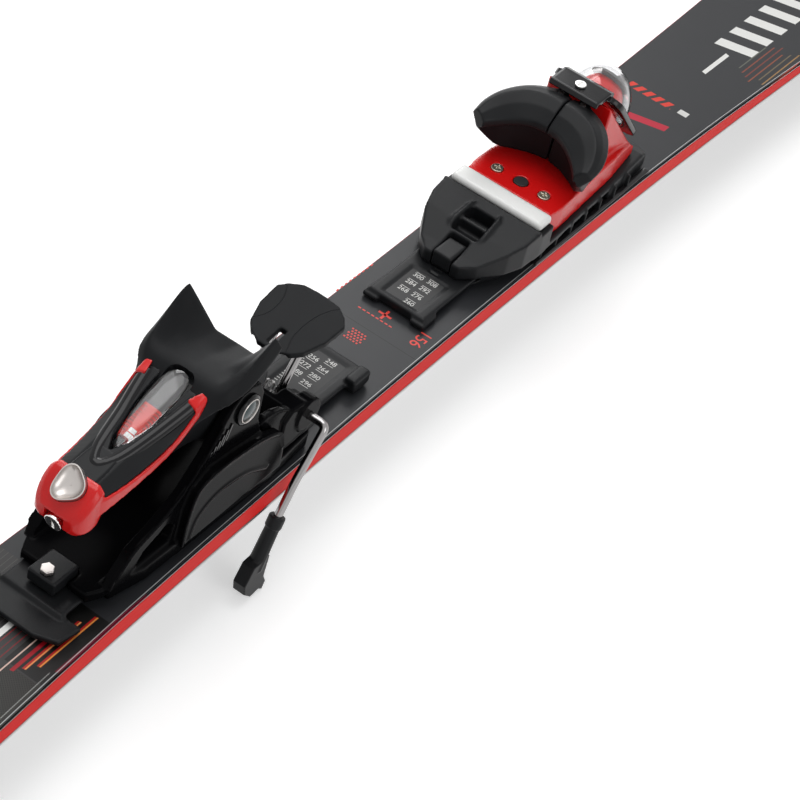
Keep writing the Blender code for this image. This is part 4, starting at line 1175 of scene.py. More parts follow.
@dataclass
class Rails:
    """The two rails with their scales."""

    scale_z: float = 6.02
    print_gap: float = 0.05
    digit: float = 3.3
    line_reach: float = 0.85
    plate_low: float = 5.4
    plate_half: float = 12.6

    def build(self) -> None:
        """Builds both rails with softened edges and their scales."""
        for rail in ("front", "rear"):
            refined(f"{rail}_rail", SATIN_BLACK, "ski", 0.9, 4)
        half, low, z = self.plate_half, self.plate_low, self.scale_z
        for rail, start, end in (("front", 17.6, 49.0), ("rear", -97.4, -50.6)):
            show(block(f"{rail}_scale_plate", (start, -half, low), (end, half, z)), SHADOW, "ski")
        for first, step, count, x, pitch, y, side in SCALE_COLUMNS:
            for i in range(count):
                self.labelled(str(first + step * i), x + pitch * i, y, side)
        first, pitch, size = (-96.0, 10.6, z), (2.3, 0.0, 0.0), (0.35, 2.2, 0.04)
        show(BARS.make("rear_scale_ticks", 20, first, pitch, size, PALE_PRINT), PALE_PRINT, "ski")

    def labelled(self, text: str, x: float, y: float, side: float) -> None:
        """Prints a sole length with the short line that points at its notch.

        Args:
            text: The sole length in mm.
            x: Its place along the ski.
            y: Its place across the ski.
            side: The line's side of the number along X, 1 or -1.
        """
        z = self.scale_z + self.print_gap
        number(f"scale_{text}", text, (x, y, z), self.digit, -90.0, PALE_PRINT, "ski")
        start = (x + side * self.digit * self.line_reach, y, z)
        line = BARS.make(f"scale_line_{text}", 1, start, (1.0, 0.0, 0.0), (0.35, 6.4, 0.04), PALE_PRINT)
        show(line, PALE_PRINT, "ski")


# A toe wing's section at each angle round the boot's toe, in degrees: radius and height of its
# outer edge, crest, lip and foot, and the radius of its inner wall.
WING_RINGS = (
    (0.0, (55.5, 72.0), (44.0, 74.0), (30.0, 63.0), (50.0, 30.8), 42.0),
    (14.0, (57.5, 71.5), (45.0, 74.0), (30.0, 63.0), (48.0, 30.8), 41.0),
    (30.0, (57.5, 68.0), (46.0, 73.0), (30.0, 62.0), (46.5, 30.8), 40.0),
    (46.0, (54.0, 64.5), (45.0, 70.0), (31.0, 60.0), (45.0, 33.0), 39.0),
    (60.0, (50.0, 60.5), (43.5, 65.5), (32.5, 58.5), (42.0, 41.5), 37.5),
    (72.0, (45.5, 57.0), (42.0, 61.5), (34.5, 57.5), (40.0, 50.0), 36.5),
)


@dataclass
class ToeUnit:
    """The toe unit: plate, slider, red body, wings, bezel, clear dome and latch."""

    body: str = "toe_unit"
    wing_centre: float = 125.0
    wing_gap: float = 0.45
    lip_drop: float = 5.0
    wall_lean: float = 0.6
    wall_drop: float = 6.4
    swell: Flat = (1.2, 0.9)
    face: Flat = (212.0, 51.0)
    slope: float = math.radians(48.4)
    pin: Flat = (178.5, 8.0)
    hub: Point = (31.0, 72.5, 5.2)
    webs: int = 7
    web_pitch: float = 17.0
    dome_radii: Point = (29.0, 21.0, 27.0)

    def build(self) -> None:
        """Builds and dresses every piece of the toe unit."""
        self.plate()
        refined("afd_bar", WHITE, self.body, 0.7, 10)
        refined("toe_body", RED, self.body, 0.8, 5)
        for side, sign in SIDES:
            refined(f"toe_screw_{side}", ZINC, self.body, 0.22, 2)
            dress(f"wing_pin_{side}", EDGE_STEEL)
            self.wing(side, sign)
        for node, finish, body, grid, passes in (
            ("toe_plug", SHADOW, self.body, 0.3, 4),
            ("toe_bezel", GLOSS_BLACK, self.body, 0.6, 6),
            ("bezel_screw", CHROME, self.body, 0.18, 3),
            ("toe_indicator", RED, "toe_indicator", 0.5, 4),
            ("toe_latch", SATIN_BLACK, "toe_latch", 0.5, 4),
            ("toe_setting_screw", ZINC, "toe_screw", 0.4, 2),
        ):
            refined(node, finish, body, grid, passes)
        dress("toe_spring", EDGE_STEEL)
        dress("toe_piston", EDGE_STEEL)
        self.dome()

    def plate(self) -> None:
        """The flared plate with its two fins and the webbed skirt."""
        fins = []
        for side, sign in SIDES:
            foot = [(x, sign * y, 17.0) for x, y in ((70.0, 9.0), (101.0, 8.6), (97.0, 13.0), (72.0, 16.5))]
            crest = ((82.0, 10.4, 25.5), (103.0, 9.4, 30.2), (99.0, 11.4, 29.2), (84.0, 12.4, 26.0))
            fins.append(skin(f"toe_fin_{side}", [foot, [(x, sign * y, z) for x, y, z in crest]], (0, 1)))
            low, high = sorted((sign * 24.0, sign * 35.2))
            for i in range(self.webs):
                x = 118.0 + self.web_pitch * i
                fins.append(block(f"toe_web_{side}_{i}", (x, low, 1.0), (x + 1.6, high, 11.0)))
        plate = moulded(fused(merged_copy("toe_plate"), fins), 0.85, 4)
        show(plate, SATIN_BLACK, self.body, "toe_plate")
        for side, sign in SIDES:
            low, high = sorted((sign * 32.0, sign * 36.4))
            skirt = block(f"toe_skirt_{side}", (112.0, low, 0.9), (246.0, high, 2.6))
            show(moulded(skirt, 0.7, 4), SMOKED, self.body)

    def wing(self, side: str, sign: float) -> None:
        """Builds one wing: a hooked shell swept round the boot's toe, with its hub.

        Args:
            side: left or right.
            sign: The side's sign along Y.
        """
        rings = []
        for degrees, outer, crest, lip, foot, wall in WING_RINGS:
            angle = math.radians(degrees)
            corners = (
                (lip[0], lip[1] - self.lip_drop),
                lip,
                ((lip[0] + crest[0]) / 2, (lip[1] + crest[1]) / 2 + self.swell[0]),
                crest,
                ((crest[0] + outer[0]) / 2, (crest[1] + outer[1]) / 2 + self.swell[1]),
                outer,
                foot,
                (wall, foot[1]),
                (wall + self.wall_lean, lip[1] - self.wall_drop),
            )
            ring = []
            for radius, z in corners:
                x = self.wing_centre + radius * math.cos(angle)
                ring.append((x, sign * (self.wing_gap + radius * math.sin(angle)), z))
            rings.append(ring)
        wing = skin(f"toe_wing_{side}_form", dense_rings(rings, 4), (0, 2))
        x, y, (low, high, radius) = self.pin[0], sign * self.pin[1], self.hub
        hub = tube(f"wing_hub_{side}", [(x, y, low), (x, y, high)], radius, 24)
        show(moulded(fused(wing, [hub]), 0.7, 5), SATIN_BLACK, f"wing_{side}", f"toe_wing_{side}")

    def dome(self) -> None:
        """The clear dome over the indicator, with the red core and the grey works inside it."""
        steps, wall, rise = 18, 0.05, 0.06
        quarter = [math.pi / 2 * i / steps for i in range(steps + 1)]
        profile = [(math.sin(a), math.cos(a)) for a in quarter]
        profile += [((1 - wall) * math.sin(a), (1 - rise) * math.cos(a)) for a in reversed(quarter)]
        place = Matrix.Translation(above_deck((self.face[0], 0.0, self.face[1])))
        place = place @ Matrix.Rotation(self.slope, 4, "Y")
        place = place @ Matrix.Translation((0.0025, 0.0, 0.0008)) @ Matrix.Diagonal((*self.dome_radii, 1.0))
        shell = turned("toe_window_form", profile, place, 72)
        show(shell, CLEAR, self.body, "toe_window")
        core = [(0.74 * math.sin(a), 0.78 * math.cos(a)) for a in quarter] + [(0.0, 0.0)]
        show(turned("dome_core", core, place, 48), RED, self.body)
        band = [(0.5, 0.6), (0.62, 0.66), (0.5, 0.74), (0.34, 0.78), (0.28, 0.7), (0.5, 0.6)]
        show(turned("dome_works", band, place, 48), GREY_CARD, self.body)


# One jaw ring: its station, its points (y, height, how far forward) from the crown out to the
# horn, and those from the horn down to the floor.
JAW_RINGS = (
    (-154.0, ((0, 82.0, 0), (13, 88.0, -6), (24.0, 108, -12), (28.2, 116.5, -15)),
     ((32.2, 110, -12), (22.3, 90, -5), (22.3, 66, -5))),
    (-172.0, ((0, 87.5, 0), (12.5, 91, 0), (23.0, 103, -2), (28.6, 114, -4)),
     ((32.6, 104, -1), (22.3, 93, 0), (22.3, 60, 0))),
    (-188.0, ((0, 94, 0), (12, 95, 0), (20, 96.5, 0), (28.2, 106, 0)),
     ((32.6, 96, 0), (22.3, 91.5, 0), (22.3, 58, 0))),
    (-203.0, ((0, 96.5, 0), (11, 96.5, 0), (18.5, 97, 0), (26.0, 97.5, 0)),
     ((31.0, 92, 0), (21.5, 88, 0), (21, 60, 0))),
    (-214.0, ((0, 89, 0), (9, 89.5, 0), (15, 90.5, 0), (20.5, 90, 0)),
     ((24.0, 85, 0), (18.4, 78, 0), (16.5, 61, 0))),
    (-238.0, ((0, 79, 0), (7, 79, 0), (10, 78.5, 0), (12, 76, 0)),
     ((13, 69, 0), (12.8, 65, 0), (12.2, 56, 0))),
    (-263.0, ((0, 73, 0), (6, 73, 0), (9, 72.5, 0), (10.5, 71, 0)),
     ((12, 65, 0), (12, 61, 0), (11.2, 51.5, 0))),
    (-281.0, ((0, 68, 0), (6, 68, 0), (8, 67.5, 0), (9.5, 66, 0)),
     ((11, 59, 0), (11, 56.5, 0), (10.3, 47.5, 0))),
)
# One lever ring: station, crown height, half width of the flat top, and the skirt's foot (y, z).
LEVER_RINGS = (
    (-212.5, 94.5, 13.8, (20.4, 92.6)),
    (-224.0, 90.0, 12.5, (20.6, 85.4)),
    (-238.0, 84.5, 11.0, (20.0, 77.4)),
    (-263.0, 78.0, 10.0, (18.2, 71.8)),
    (-283.0, 74.5, 9.8, (16.6, 70.6)),
)
# The crest of one glossy arm of the lever, from its tip to where the two meet.
LEVER_ARM = (
    (-213.6, 15.8, 93.6),
    (-226.0, 13.4, 88.8),
    (-238.0, 10.8, 84.2),
    (-252.0, 8.2, 80.4),
    (-262.0, 5.8, 78.2),
    (-269.0, 2.6, 77.2),
    (-271.0, 0.0, 77.0),
)
# A bead on the carriage: its name, y, radius, and the x and z of its points.
CARRIAGE_BEADS = (
    ("skirt_bead", 34.4, 1.0, ((-231.0, 10.0), (-229.8, 30.0), (-224.0, 47.0), (-208.0, 51.0),
                               (-186.0, 49.5), (-166.0, 45.5), (-152.0, 39.0), (-146.5, 26.0))),
    ("skirt_fold", 34.4, 0.9, ((-226.0, 12.0), (-221.0, 26.0), (-205.0, 33.0), (-182.0, 30.0),
                               (-160.0, 20.0))),
    ("arm_bead", 28.9, 0.9, ((-280.0, 18.0), (-266.0, 29.5), (-250.0, 35.0), (-231.0, 45.0),
                             (-215.0, 61.0), (-204.0, 75.0))),
)
# The red strip along the lever: station, inner y, low and high edge.
TRIM_STRIP = (
    (-211.5, 18.8, 87.5, 93.4),
    (-218.0, 19.2, 84.0, 89.4),
    (-228.0, 19.2, 77.6, 82.4),
    (-240.0, 18.4, 70.4, 75.6),
    (-262.0, 17.2, 65.0, 71.0),
    (-281.0, 15.6, 61.0, 70.5),
    (-288.0, 13.6, 58.0, 70.0),
)


@dataclass
class HeelUnit:
    """The heel unit: carriage, jaw, window, lever, red trim and setting screw."""

    unit: str = "heel_unit"
    jaw_body: str = "heel_jaw"
    pivot: Flat = (-184.0, 75.0)
    cap_seat: float = 29.3
    window_centre: Point = (-230.0, 0.0, 86.6)
    window_slope: float = math.radians(20.0)
    dimple: Point = (-291.6, 0.0, 74.9)
    dimple_facing: Point = (-0.62, 0.0, 0.78)
    spur_half: float = 16.0
    arm_sink: float = 3.3
    arm_radius: float = 4.4

    def build(self) -> None:
        """Builds and dresses every piece of the heel unit."""
        self.carriage()
        self.jaw()
        self.window()
        self.lever()
        self.trim()
        self.pole_pocket()
        self.pivot_beads()
        for node in ("heel_pivot_pin", "heel_spring", "heel_piston"):
            dress(node, EDGE_STEEL)
        refined("heel_setting_screw", CHROME, "heel_screw", 0.3, 3)
        refined("heel_latch", SATIN_BLACK, "heel_latch", 0.5, 5)
        refined("latch_bolt", SATIN_CHROME, "heel_latch", 0.25, 3)

    def on_slope(self) -> Matrix:
        """The turn of the window's slope about its middle."""
        return turned_about(above_deck(self.window_centre), -self.window_slope)

    def sloped(self, thing: Thing) -> Thing:
        """Turns a piece's mesh into the window's slope."""
        thing.data.transform(self.on_slope())
        return thing

    def carriage(self) -> None:
        """The carriage with beads along its skirts and ribs on its arms."""
        beads = []
        for side, sign in SIDES:
            for name, y, radius, line in CARRIAGE_BEADS:
                route = spline([(x, sign * y, z) for x, z in line], 5)
                beads.append(tube(f"{name}_{side}", route, radius, 10))
        made = moulded(fused(merged_copy("heel_carriage"), beads), 0.85, 4)
        # The carriage takes the darker copy of the gloss black, as painted shade on its side faces.
        show(made, SHADED_GLOSS_BLACK, self.unit, "heel_carriage")
        pitch, size, lean = (-3.0, 0.0, -2.0), (1.1, 1.2, 10.0), (0.0, 0.35, 0.0)
        for side, sign in SIDES:
            first = (-198.0, sign * 29.0, 68.0)
            ribs = BARS.make(f"arm_ribs_{side}", 6, first, pitch, size, GLOSS_BLACK, lean)
            show(ribs, GLOSS_BLACK, self.unit)

    @staticmethod
    def jaw_ring(station: float, upper: Sequence[Point], lower: Sequence[Point]) -> list[Point]:
        """One ring of the jaw, both sides of its middle.

        Args:
            station: The ring's place along the ski.
            upper: Its points from crown to horn, as y, height and how far forward.
            lower: Its points from the horn down to the floor, in the same form.

        Returns:
            The ring's points, in mm above the deck.
        """
        left = [(station + forward, y, z) for y, z, forward in (*upper, *lower)]
        return mirrored([*left, (left[-1][0], 0.0, left[-1][2])])

    def jaw(self) -> None:
        """The horned jaw: one soft form with its spur and the well of the window."""
        rings = dense_rings([self.jaw_ring(*ring) for ring in JAW_RINGS], 5)
        jaw = skin("heel_jaw_form", rings)
        outline = [(-172.0, 62.0), (-157.0, 76.0), (-148.0, 72.0), (-145.5, 64.0)]
        outline += [(-150.0, 57.0), (-166.0, 58.0)]
        spur = slab("jaw_spur", outline, Plane.SIDE, -self.spur_half, self.spur_half)
        moulded(fused(jaw, [spur]), 0.8, 26)
        outline = [(-201.5, 0.0)]
        for k in range(1, 6):
            angle = math.pi / 2 * k / 5
            outline.append((-208.0 + 6.5 * math.cos(angle), 2.4 + 6.2 * math.sin(angle)))
        outline = mirrored(outline + [(-222.0, 8.6), (-240.0, 7.4), (-254.0, 5.4), (-263.4, 0.0)])
        cut(jaw, self.sloped(slab("window_well", outline, Plane.PLAN, 80.0, 104.0)))
        smooth(jaw, 50.0)
        show(jaw, MATTE_DARK, self.jaw_body, "heel_jaw")

    def window(self) -> None:
        """The clear window, the scale card under it and the red indicator with its ticks."""
        half = [(-203.6, 0.0), (-204.6, 3.6), (-208.0, 6.6), (-214.0, 7.6), (-222.0, 7.8), (-238.0, 6.9)]
        half += [(-250.0, 4.5), (-257.8, 1.2), (-258.4, 0.0)]
        rows, middle = [], self.window_centre[0]
        for share, z in ((1.0, 84.6), (1.0, 86.2), (0.86, 87.3), (0.5, 88.2), (0.12, 88.5)):
            length = 0.3 + 0.7 * share
            rows.append([(middle + (x - middle) * length, y * share, z) for x, y in mirrored(half)])
        pane = self.sloped(skin("heel_window_form", rows, (0, 1)))
        show(smooth(pane, 50.0), CLEAR, self.jaw_body, "heel_window")
        card = self.sloped(block("scale_card", (-257.0, -6.6, 79.0), (-205.0, 6.6, 80.2)))
        show(card, GREY_CARD, self.jaw_body)
        refined("heel_indicator", SCALE_RED, "heel_indicator", 0.4, 3)
        top, pitch, size = 83.5, (2.1, 0.0, 0.0), (0.5, 2.6, 0.06)
        for side, sign in SIDES:
            ticks = BARS.make(f"indicator_ticks_{side}", 9, (-247.0, sign * 3.6, top), pitch, size, SHADOW)
            show(self.sloped(ticks), SHADOW, "heel_indicator")
        mark = BARS.make("indicator_mark", 2, (-248.4, 0.0, top), (3.2, 0.0, 0.0), (2.6, 3.2, 0.08), WHITE)
        show(self.sloped(mark), WHITE, "heel_indicator")

    def lever(self) -> None:
        """The lever's shell, the glossy arms round the window and the panel behind them."""
        rings = []
        for station, crown, flat, foot in LEVER_RINGS:
            half = [(0.0, crown + 0.4), (flat * 0.6, crown + 0.3), (flat, crown - 0.4), foot]
            half += [(foot[0] - 2.6, foot[1]), (flat - 1.2, crown - 3.4), (0.0, crown - 3.0)]
            rings.append(mirrored([(station, y, z) for y, z in half]))
        lever = skin("heel_lever_form", dense_rings(rings, 6))
        opening = mirrored([(-196.0, 9.4), (-226.0, 9.0), (-240.0, 7.6), (-252.0, 5.2), (-262.0, 0.0)])
        cut(lever, slab("lever_opening", opening, Plane.PLAN, 60.0, 120.0))
        show(moulded(lever, 0.5, 5), SATIN_BLACK, self.jaw_body, "heel_lever")
        arms = mirrored([(x, y, z - self.arm_sink) for x, y, z in LEVER_ARM])
        ridge = tube("lever_arms", spline(arms, 6), self.arm_radius, 28)
        show(moulded(ridge, 0.4, 3), GLOSS_BLACK, self.jaw_body)
        self.lever_panel()

    def lever_panel(self) -> None:
        """The raised panel behind the lever's arms, with its two creases."""
        panel_rings = []
        for station, crown, flat in ((-262.0, 78.7, 8.6), (-272.0, 77.0, 9.4), (-283.0, 75.4, 9.6)):
            low, narrow = crown - 1.2, flat - 1.6
            ring = ((-flat, low), (flat, low), (narrow, crown), (-narrow, crown))
            panel_rings.append([(station, y, z) for y, z in ring])
        panel = moulded(skin("lever_panel", dense_rings(panel_rings, 4)), 0.5, 5)
        creases = []
        for side, sign in SIDES:
            line = [(-268.0, sign * 3.0, 78.4), (-275.0, sign * 6.4, 77.2), (-282.0, sign * 11.0, 75.6)]
            creases.append(tube(f"lever_crease_{side}", spline(line, 5), 0.45, 8))
        show(smooth(cut(panel, *creases), 50.0), SATIN_BLACK, self.jaw_body)

    def trim(self) -> None:
        """The red end cap with its pocket, and the red strips with their tips."""
        cap = []
        for x, half, low, high in (
            (-282.6, 15.6, 54.0, 77.0),
            (-287.0, 16.4, 51.0, 76.6),
            (-293.0, 16.2, 50.0, 71.8),
            (-298.0, 14.6, 51.0, 66.2),
            (-301.0, 11.4, 54.0, 61.4),
        ):
            corner = min(3.0, (high - low) / 3)
            right = [(half, low + corner), (half, high - corner), (half - corner, high)]
            left = [(-y, z) for y, z in reversed(right)]
            ring = [*right, *left, (corner - half, low), (half - corner, low)]
            cap.append([(x, y, z) for y, z in ring])
        trim = skin("lever_trim_form", dense_rings(cap, 3))
        bands = []
        for side, sign in SIDES:
            strip = []
            for x, y, low, high in TRIM_STRIP:
                near, far = sign * y, sign * (y + 2.0)
                strip.append([(x, near, low), (x, far, low), (x, far, high), (x, near, high)])
            bands.append(skin(f"trim_strip_{side}", dense_rings(strip, 4)))
            tip = [(-210.6, sign * 16.4, 93.2), (-210.6, sign * 20.4, 92.0), (-219.5, sign * 20.2, 89.4)]
            tip += [(-219.5, sign * 14.0, 92.4)]
            top = [(x + 0.3, y * 0.985, z + 2.6) for x, y, z in tip]
            bands.append(skin(f"trim_tip_{side}", [tip, top], (0, 1)))
        moulded(fused(trim, bands), 0.6, 6)
        well = self.pocket_rings("dimple_well", 9.4, ((1.0, -5.5), (1.0, 14.0)))
        notch = block("trim_screw_notch", (-310.0, -6.2, 40.0), (-278.0, 6.2, 60.6))
        hollow = block("trim_hollow", (-290.0, -12.6, 40.0), (-270.0, 12.6, 70.0))
        show(smooth(cut(trim, well, notch, hollow), 50.0), RED, self.jaw_body, "lever_trim")

    @staticmethod
    def pocket_outline(radius: float) -> list[Flat]:
        """A triangle with wide round corners, one corner towards the lever.

        Args:
            radius: The radius about which its sides swell and sink.

        Returns:
            The outline's points in the pocket's own plane.
        """
        points = []
        for k in range(36):
            angle = 2 * math.pi * k / 36
            swell = radius * (1.0 + 0.1 * math.cos(3 * angle))
            points.append((swell * math.cos(angle) * 0.92, swell * math.sin(angle) * 1.06))
        return points

    def pocket_rings(self, name: str, radius: float, rows: Sequence[Flat], closed: bool = False) -> Thing:
        """A form of rings about the pole pocket's axis.

        Args:
            name: The object's name.
            radius: The radius of the pocket's outline.
            rows: Each ring's share of the outline and its height above the pocket's seat.
            closed: Whether the last ring joins the first.

        Returns:
            The form as an object.
        """
        turn = Vector(self.dimple_facing).to_track_quat("Z", "Y").to_matrix().to_4x4()
        place = Matrix.Translation(above_deck(self.dimple)) @ turn
        outline = self.pocket_outline(radius)
        points = [place @ (Vector((u * share, v * share, z)) * MM) for share, z in rows for u, v in outline]
        faces: list[Sequence[int]] = [*ring_faces(len(rows), len(outline), closed)]
        if not closed:
            faces += end_faces(len(rows), len(outline))
        return mesh_thing(name, points, faces)

    def pole_pocket(self) -> None:
        """The bright pocket for a pole tip, as a rounded three-cornered bowl."""
        rows = [(1.0, 0.6), (1.0, 1.6), (0.93, 1.7), (0.88, 0.8), (0.74, -0.8), (0.5, -1.9), (0.22, -2.4)]
        rows += [(0.02, -2.5), (0.02, -4.4), (0.9, -4.2), (1.0, -3.0)]
        bowl = smooth(self.pocket_rings("pole_dimple_form", 9.2, rows, closed=True), 45.0)
        show(bowl, SATIN_CHROME, self.jaw_body, "pole_dimple")

    def pivot_beads(self) -> None:
        """The pivot caps: a bright ring in a black collar, round a dark glassy bead."""
        (x, z), y = self.pivot, self.cap_seat
        ring = [(6.7, 0.0), (7.4, 0.0), (7.4, 2.0), (7.1, 2.3), (6.8, 2.2), (6.6, 1.7), (6.6, 0.0)]
        ring.append(ring[0])
        collar = [(7.5, 0.0), (9.4, 0.0), (9.4, 0.9), (8.9, 1.6), (7.9, 1.9), (7.5, 1.7), (7.5, 0.0)]
        bead = [(0.0, 2.6), (2.6, 2.4), (4.8, 1.8), (6.4, 0.8), (6.4, 0.0), (0.0, 0.0)]
        for side, sign in SIDES:
            seat = Matrix.Translation(above_deck((x, sign * y, z)))
            place = seat @ Matrix.Rotation(-sign * math.pi / 2, 4, "X")
            show(turned(f"pivot_ring_{side}", ring, place, 56), SATIN_CHROME, self.unit)
            made = turned(f"pivot_collar_{side}", collar, place, 56)
            show(made, GLOSS_BLACK, self.unit, f"pivot_cap_{side}")
            show(turned(f"pivot_bead_{side}", bead, place, 48), JEWEL, self.unit)


# The pedal's top above the deck before its tilt, and the seams in it, as places along and across the ski.
PEDAL_TOP = 66.9
PEDAL_SEAMS = (
    ((-123.0, -10.8), (-110.2, -6.7), (-94.7, -6.9), (-83.3, -10.3), (-77.0, -14.8)),
    ((-116.0, 18.6), (-108.0, 14.4), (-99.0, 13.6), (-90.0, 15.6), (-82.0, 20.0)),
)


@dataclass
class Brake:
    """The ski brake: housing, wire, feet and pedal."""

    unit: str = "heel_unit"
    arms: str = "brake_arms"
    axle: Flat = (-120.0, 29.0)
    crank: Flat = (-100.0, 60.0)
    wire_radius: float = 2.5
    pedal_tilt: float = math.radians(7.0)

    def build(self) -> None:
        """Builds and dresses every piece of the brake."""
        self.housing()
        self.wire()
        self.feet()
        self.pedal()
        dress("brake_spring", EDGE_STEEL)

    def housing(self) -> None:
        """The round-eared housing with a thin ridge along its lower edge."""
        beads, (x, z) = [], self.axle
        for side, sign in SIDES:
            edge = ((-141.0, 14.0), (-128.0, 14.6), (-116.0, 18.0), (-110.5, 24.0), (-114.0, 31.5))
            route = spline([(along, sign * 29.6, up) for along, up in edge], 6)
            beads.append(tube(f"housing_bead_{side}", route, 0.8, 10))
            beads.append(tube(f"housing_ear_{side}", [(x, sign * 22.0, z), (x, sign * 31.5, z)], 10.5, 32))
        made = moulded(fused(merged_copy("brake_housing"), beads), 0.7, 8)
        bore = tube("housing_axle_bore", [(x, -36.0, z), (x, 36.0, z)], self.wire_radius + 0.4, 20)
        slot = block("housing_crank_slot", (-132.0, -14.5, 17.0), (-100.0, 14.5, 60.0))
        # The housing takes the darker copy of the gloss black, as painted shade on its side faces.
        show(smooth(cut(made, bore, slot), 50.0), SHADED_GLOSS_BLACK, self.unit, "brake_housing")

    def route(self) -> list[Vector]:
        """The wire's route, with round bends at its corners.

        Returns:
            Its points from the right foot to the left one, in mm above the deck.
        """
        (ax, az), (px, pz) = self.axle, self.crank
        half = [(px, 9.5, pz), (ax, 9.5, az), (ax, 43.0, az)]
        half += [(-141.5, 43.4, 1.0), (-152.8, 43.4, -20.5), (-164.0, 43.4, -46.0)]
        corners = [Vector((x, -y, z)) for x, y, z in reversed(half)] + [Vector(point) for point in half]
        found = [corners[0]]
        for before, corner, after in zip(corners, corners[1:], corners[2:]):
            back, ahead = (before - corner).normalized(), (after - corner).normalized()
            reach = min(4.2, (before - corner).length / 2.2, (after - corner).length / 2.2)
            start, end = corner + back * reach, corner + ahead * reach
            for k in range(9):
                t = k / 8
                found.append(start * (1 - t) ** 2 + corner * (2 * t * (1 - t)) + end * t * t)
        return found + [corners[-1]]

    def wire(self) -> None:
        """The bent wire, smooth all the way from foot to foot."""
        wire = smooth(tube("brake_wire_form", self.route(), self.wire_radius, 28), 60.0)
        # The wire's chrome is darkened, as painted shade for the dark surroundings it reflects.
        show(wire, DIMMED_WIRE_CHROME, self.arms, "brake_wire")

    def feet(self) -> None:
        """The two feet with a sleeve, a blade and a barb."""
        for side, sign in SIDES:
            y = sign * 43.4
            collar = tube(f"foot_collar_{side}", [(-151.8, y, -18.0), (-154.6, y, -24.4)], 4.9, 24)
            made = moulded(fused(merged_copy(f"brake_foot_{side}"), [collar]), 0.5, 6)
            way = [(-147.5, y, -10.5), (-152.8, y, -20.5), (-164.2, y, -46.4)]
            cut(made, tube(f"foot_bore_{side}", way, self.wire_radius + 0.2, 20))
            show(smooth(made, 50.0), SATIN_BLACK, self.arms, f"brake_foot_{side}")

    def pedal(self) -> None:
        """The shield-shaped pedal with curved seams, a slot and its lug."""
        tilt = turned_about(above_deck((self.crank[0], 0.0, self.crank[1])), -self.pedal_tilt)
        made, grooves = moulded(merged_copy("brake_pedal"), 0.5, 6), []
        for i, line in enumerate(PEDAL_SEAMS):
            groove = tube(f"pedal_seam_{i}", spline([(x, y, PEDAL_TOP) for x, y in line], 6), 0.5, 8)
            groove.data.transform(tilt)
            grooves.append(groove)
        show(smooth(cut(made, *grooves), 50.0), MATTE_DARK, "brake_pedal", "brake_pedal")


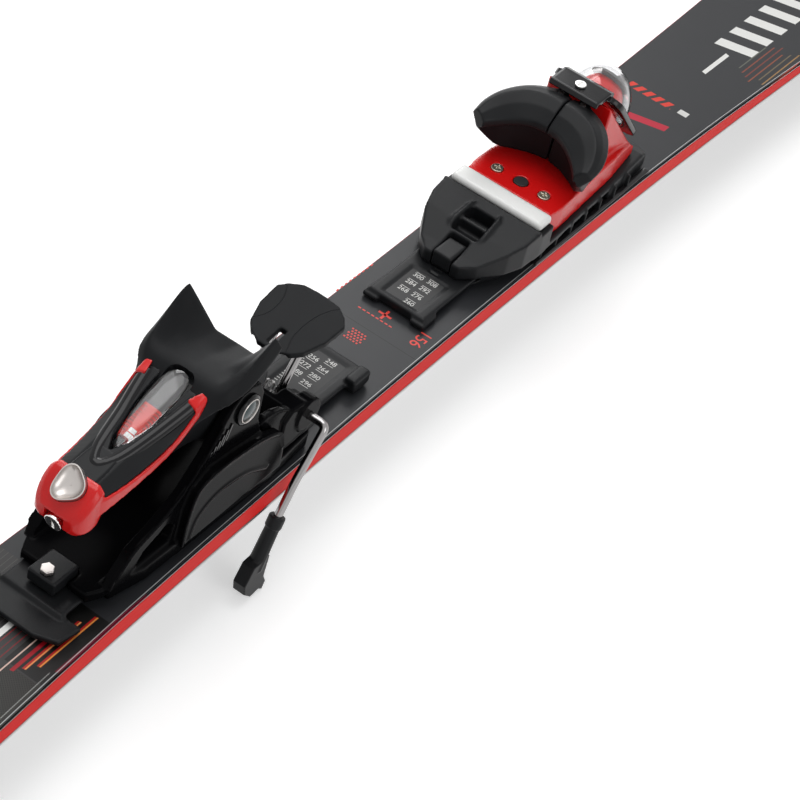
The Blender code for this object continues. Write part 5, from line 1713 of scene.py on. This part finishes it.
@dataclass
class Studio:
    """A pale floor, soft lights and the camera at the photograph's angle."""

    eye: Point = (-1.1103, -0.5500, 1.0911)
    right: Point = (0.5699, -0.7995, 0.1897)
    up: Point = (0.4794, 0.5110, 0.7135)
    lens: float = 127.2
    sensor: float = 36.0
    reach: Flat = (0.05, 40.0)
    floor_half: float = 6.0
    floor_gap: float = 0.0003
    floor_glow: float = 0.45
    world_light: float = 0.42
    lamps: tuple[tuple[str, Point, Point, float, float], ...] = (
        ("key", (0.2, 0.5, 2.4), (-0.05, 0.0, 0.0), 1.8, 30.0),
        ("side", (-0.6, -2.0, 1.2), (-0.1, 0.0, 0.0), 1.2, 11.0),
        ("rim", (1.6, 1.2, 1.4), (0.0, 0.0, 0.0), 1.0, 16.0),
    )

    def build(self) -> None:
        """Sets the floor, the world, the lights and the camera."""
        self.floor()
        self.world()
        for lamp in self.lamps:
            self.lamp(*lamp)
        self.camera()
        bpy.context.scene.view_settings.view_transform = "Standard"

    def floor(self) -> None:
        """The floor under the brake's feet, white to the camera but for the shadow."""
        half, z = self.floor_half, min(corner.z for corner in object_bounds()) - self.floor_gap
        spots = ((-half, -half), (half, -half), (half, half), (-half, half))
        floor = mesh_thing("floor", [Vector((x, y, z)) for x, y in spots], [(0, 1, 2, 3)])
        made = bpy.data.materials.new("pale_floor")
        made.use_nodes = True
        shader = made.node_tree.nodes["Principled BSDF"]
        shader.inputs["Base Color"].default_value = (0.8, 0.8, 0.8, 1.0)
        shader.inputs["Roughness"].default_value = 0.9
        shader.inputs["Emission Color"].default_value = (1.0, 1.0, 1.0, 1.0)
        tree = made.node_tree
        glow = reckoned(tree, "ShaderNodeMath", "MULTIPLY", self.seen(tree), self.floor_glow)
        tree.links.new(glow, shader.inputs["Emission Strength"])
        floor.data.materials.append(made)
        floor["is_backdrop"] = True

    @staticmethod
    def seen(tree: Tree) -> Socket:
        """One for rays from the camera, from gloss and through glass.

        Args:
            tree: The tree that the nodes go into.

        Returns:
            The mask.
        """
        path = tree.nodes.new("ShaderNodeLightPath").outputs
        shiny = reckoned(tree, "ShaderNodeMath", "MAXIMUM", path["Is Camera Ray"], path["Is Glossy Ray"])
        return reckoned(tree, "ShaderNodeMath", "MAXIMUM", shiny, path["Is Transmission Ray"])

    def world(self) -> None:
        """A soft grey surrounding, white to the camera, in gloss and through glass."""
        world = bpy.data.worlds.new("studio")
        bpy.context.scene.world = world
        world.use_nodes = True
        nodes, links = world.node_tree.nodes, world.node_tree.links
        back = nodes["Background"]
        mix = nodes.new("ShaderNodeMix")
        links.new(self.seen(world.node_tree), mix.inputs["Factor"])
        mix.inputs["A"].default_value = self.world_light
        mix.inputs["B"].default_value = 1.0
        links.new(mix.outputs["Result"], back.inputs["Strength"])
        back.inputs["Color"].default_value = (1.0, 1.0, 1.0, 1.0)

    @staticmethod
    def lamp(name: str, at: Point, towards: Point, size: float, power: float) -> None:
        """Adds a square soft light.

        Args:
            name: Its name.
            at: Its place, in metres.
            towards: What it points at.
            size: The length of its side, in metres.
            power: Its power, in watts.
        """
        data = bpy.data.lights.new(name, "AREA")
        data.size = size
        data.energy = power
        thing = bpy.data.objects.new(name, data)
        bpy.context.scene.collection.objects.link(thing)
        thing.location = at
        thing.rotation_euler = (Vector(towards) - Vector(at)).to_track_quat("-Z", "Y").to_euler()

    def camera(self) -> None:
        """The camera at the photograph's place, angle and lens."""
        data = bpy.data.cameras.new("camera")
        data.lens = self.lens
        data.sensor_width = self.sensor
        data.clip_start, data.clip_end = self.reach
        thing = bpy.data.objects.new("camera", data)
        bpy.context.scene.collection.objects.link(thing)
        right, up = Vector(self.right).normalized(), Vector(self.up).normalized()
        back = right.cross(up)
        turn = Matrix((right, up, back)).transposed().to_4x4()
        thing.matrix_world = Matrix.Translation(self.eye) @ turn
        bpy.context.scene.camera = thing


def main() -> None:
    """Builds the looks in order."""
    logging.basicConfig(level=logging.INFO, format="%(name)s: %(message)s")
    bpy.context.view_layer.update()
    studio = Studio()
    studio.build()
    for unit in (SkiBody(), Rails(), ToeUnit(), HeelUnit(), Brake()):
        LOG.info("building %s", type(unit).__name__)
        unit.build()


if __name__ == "__main__":
    main()
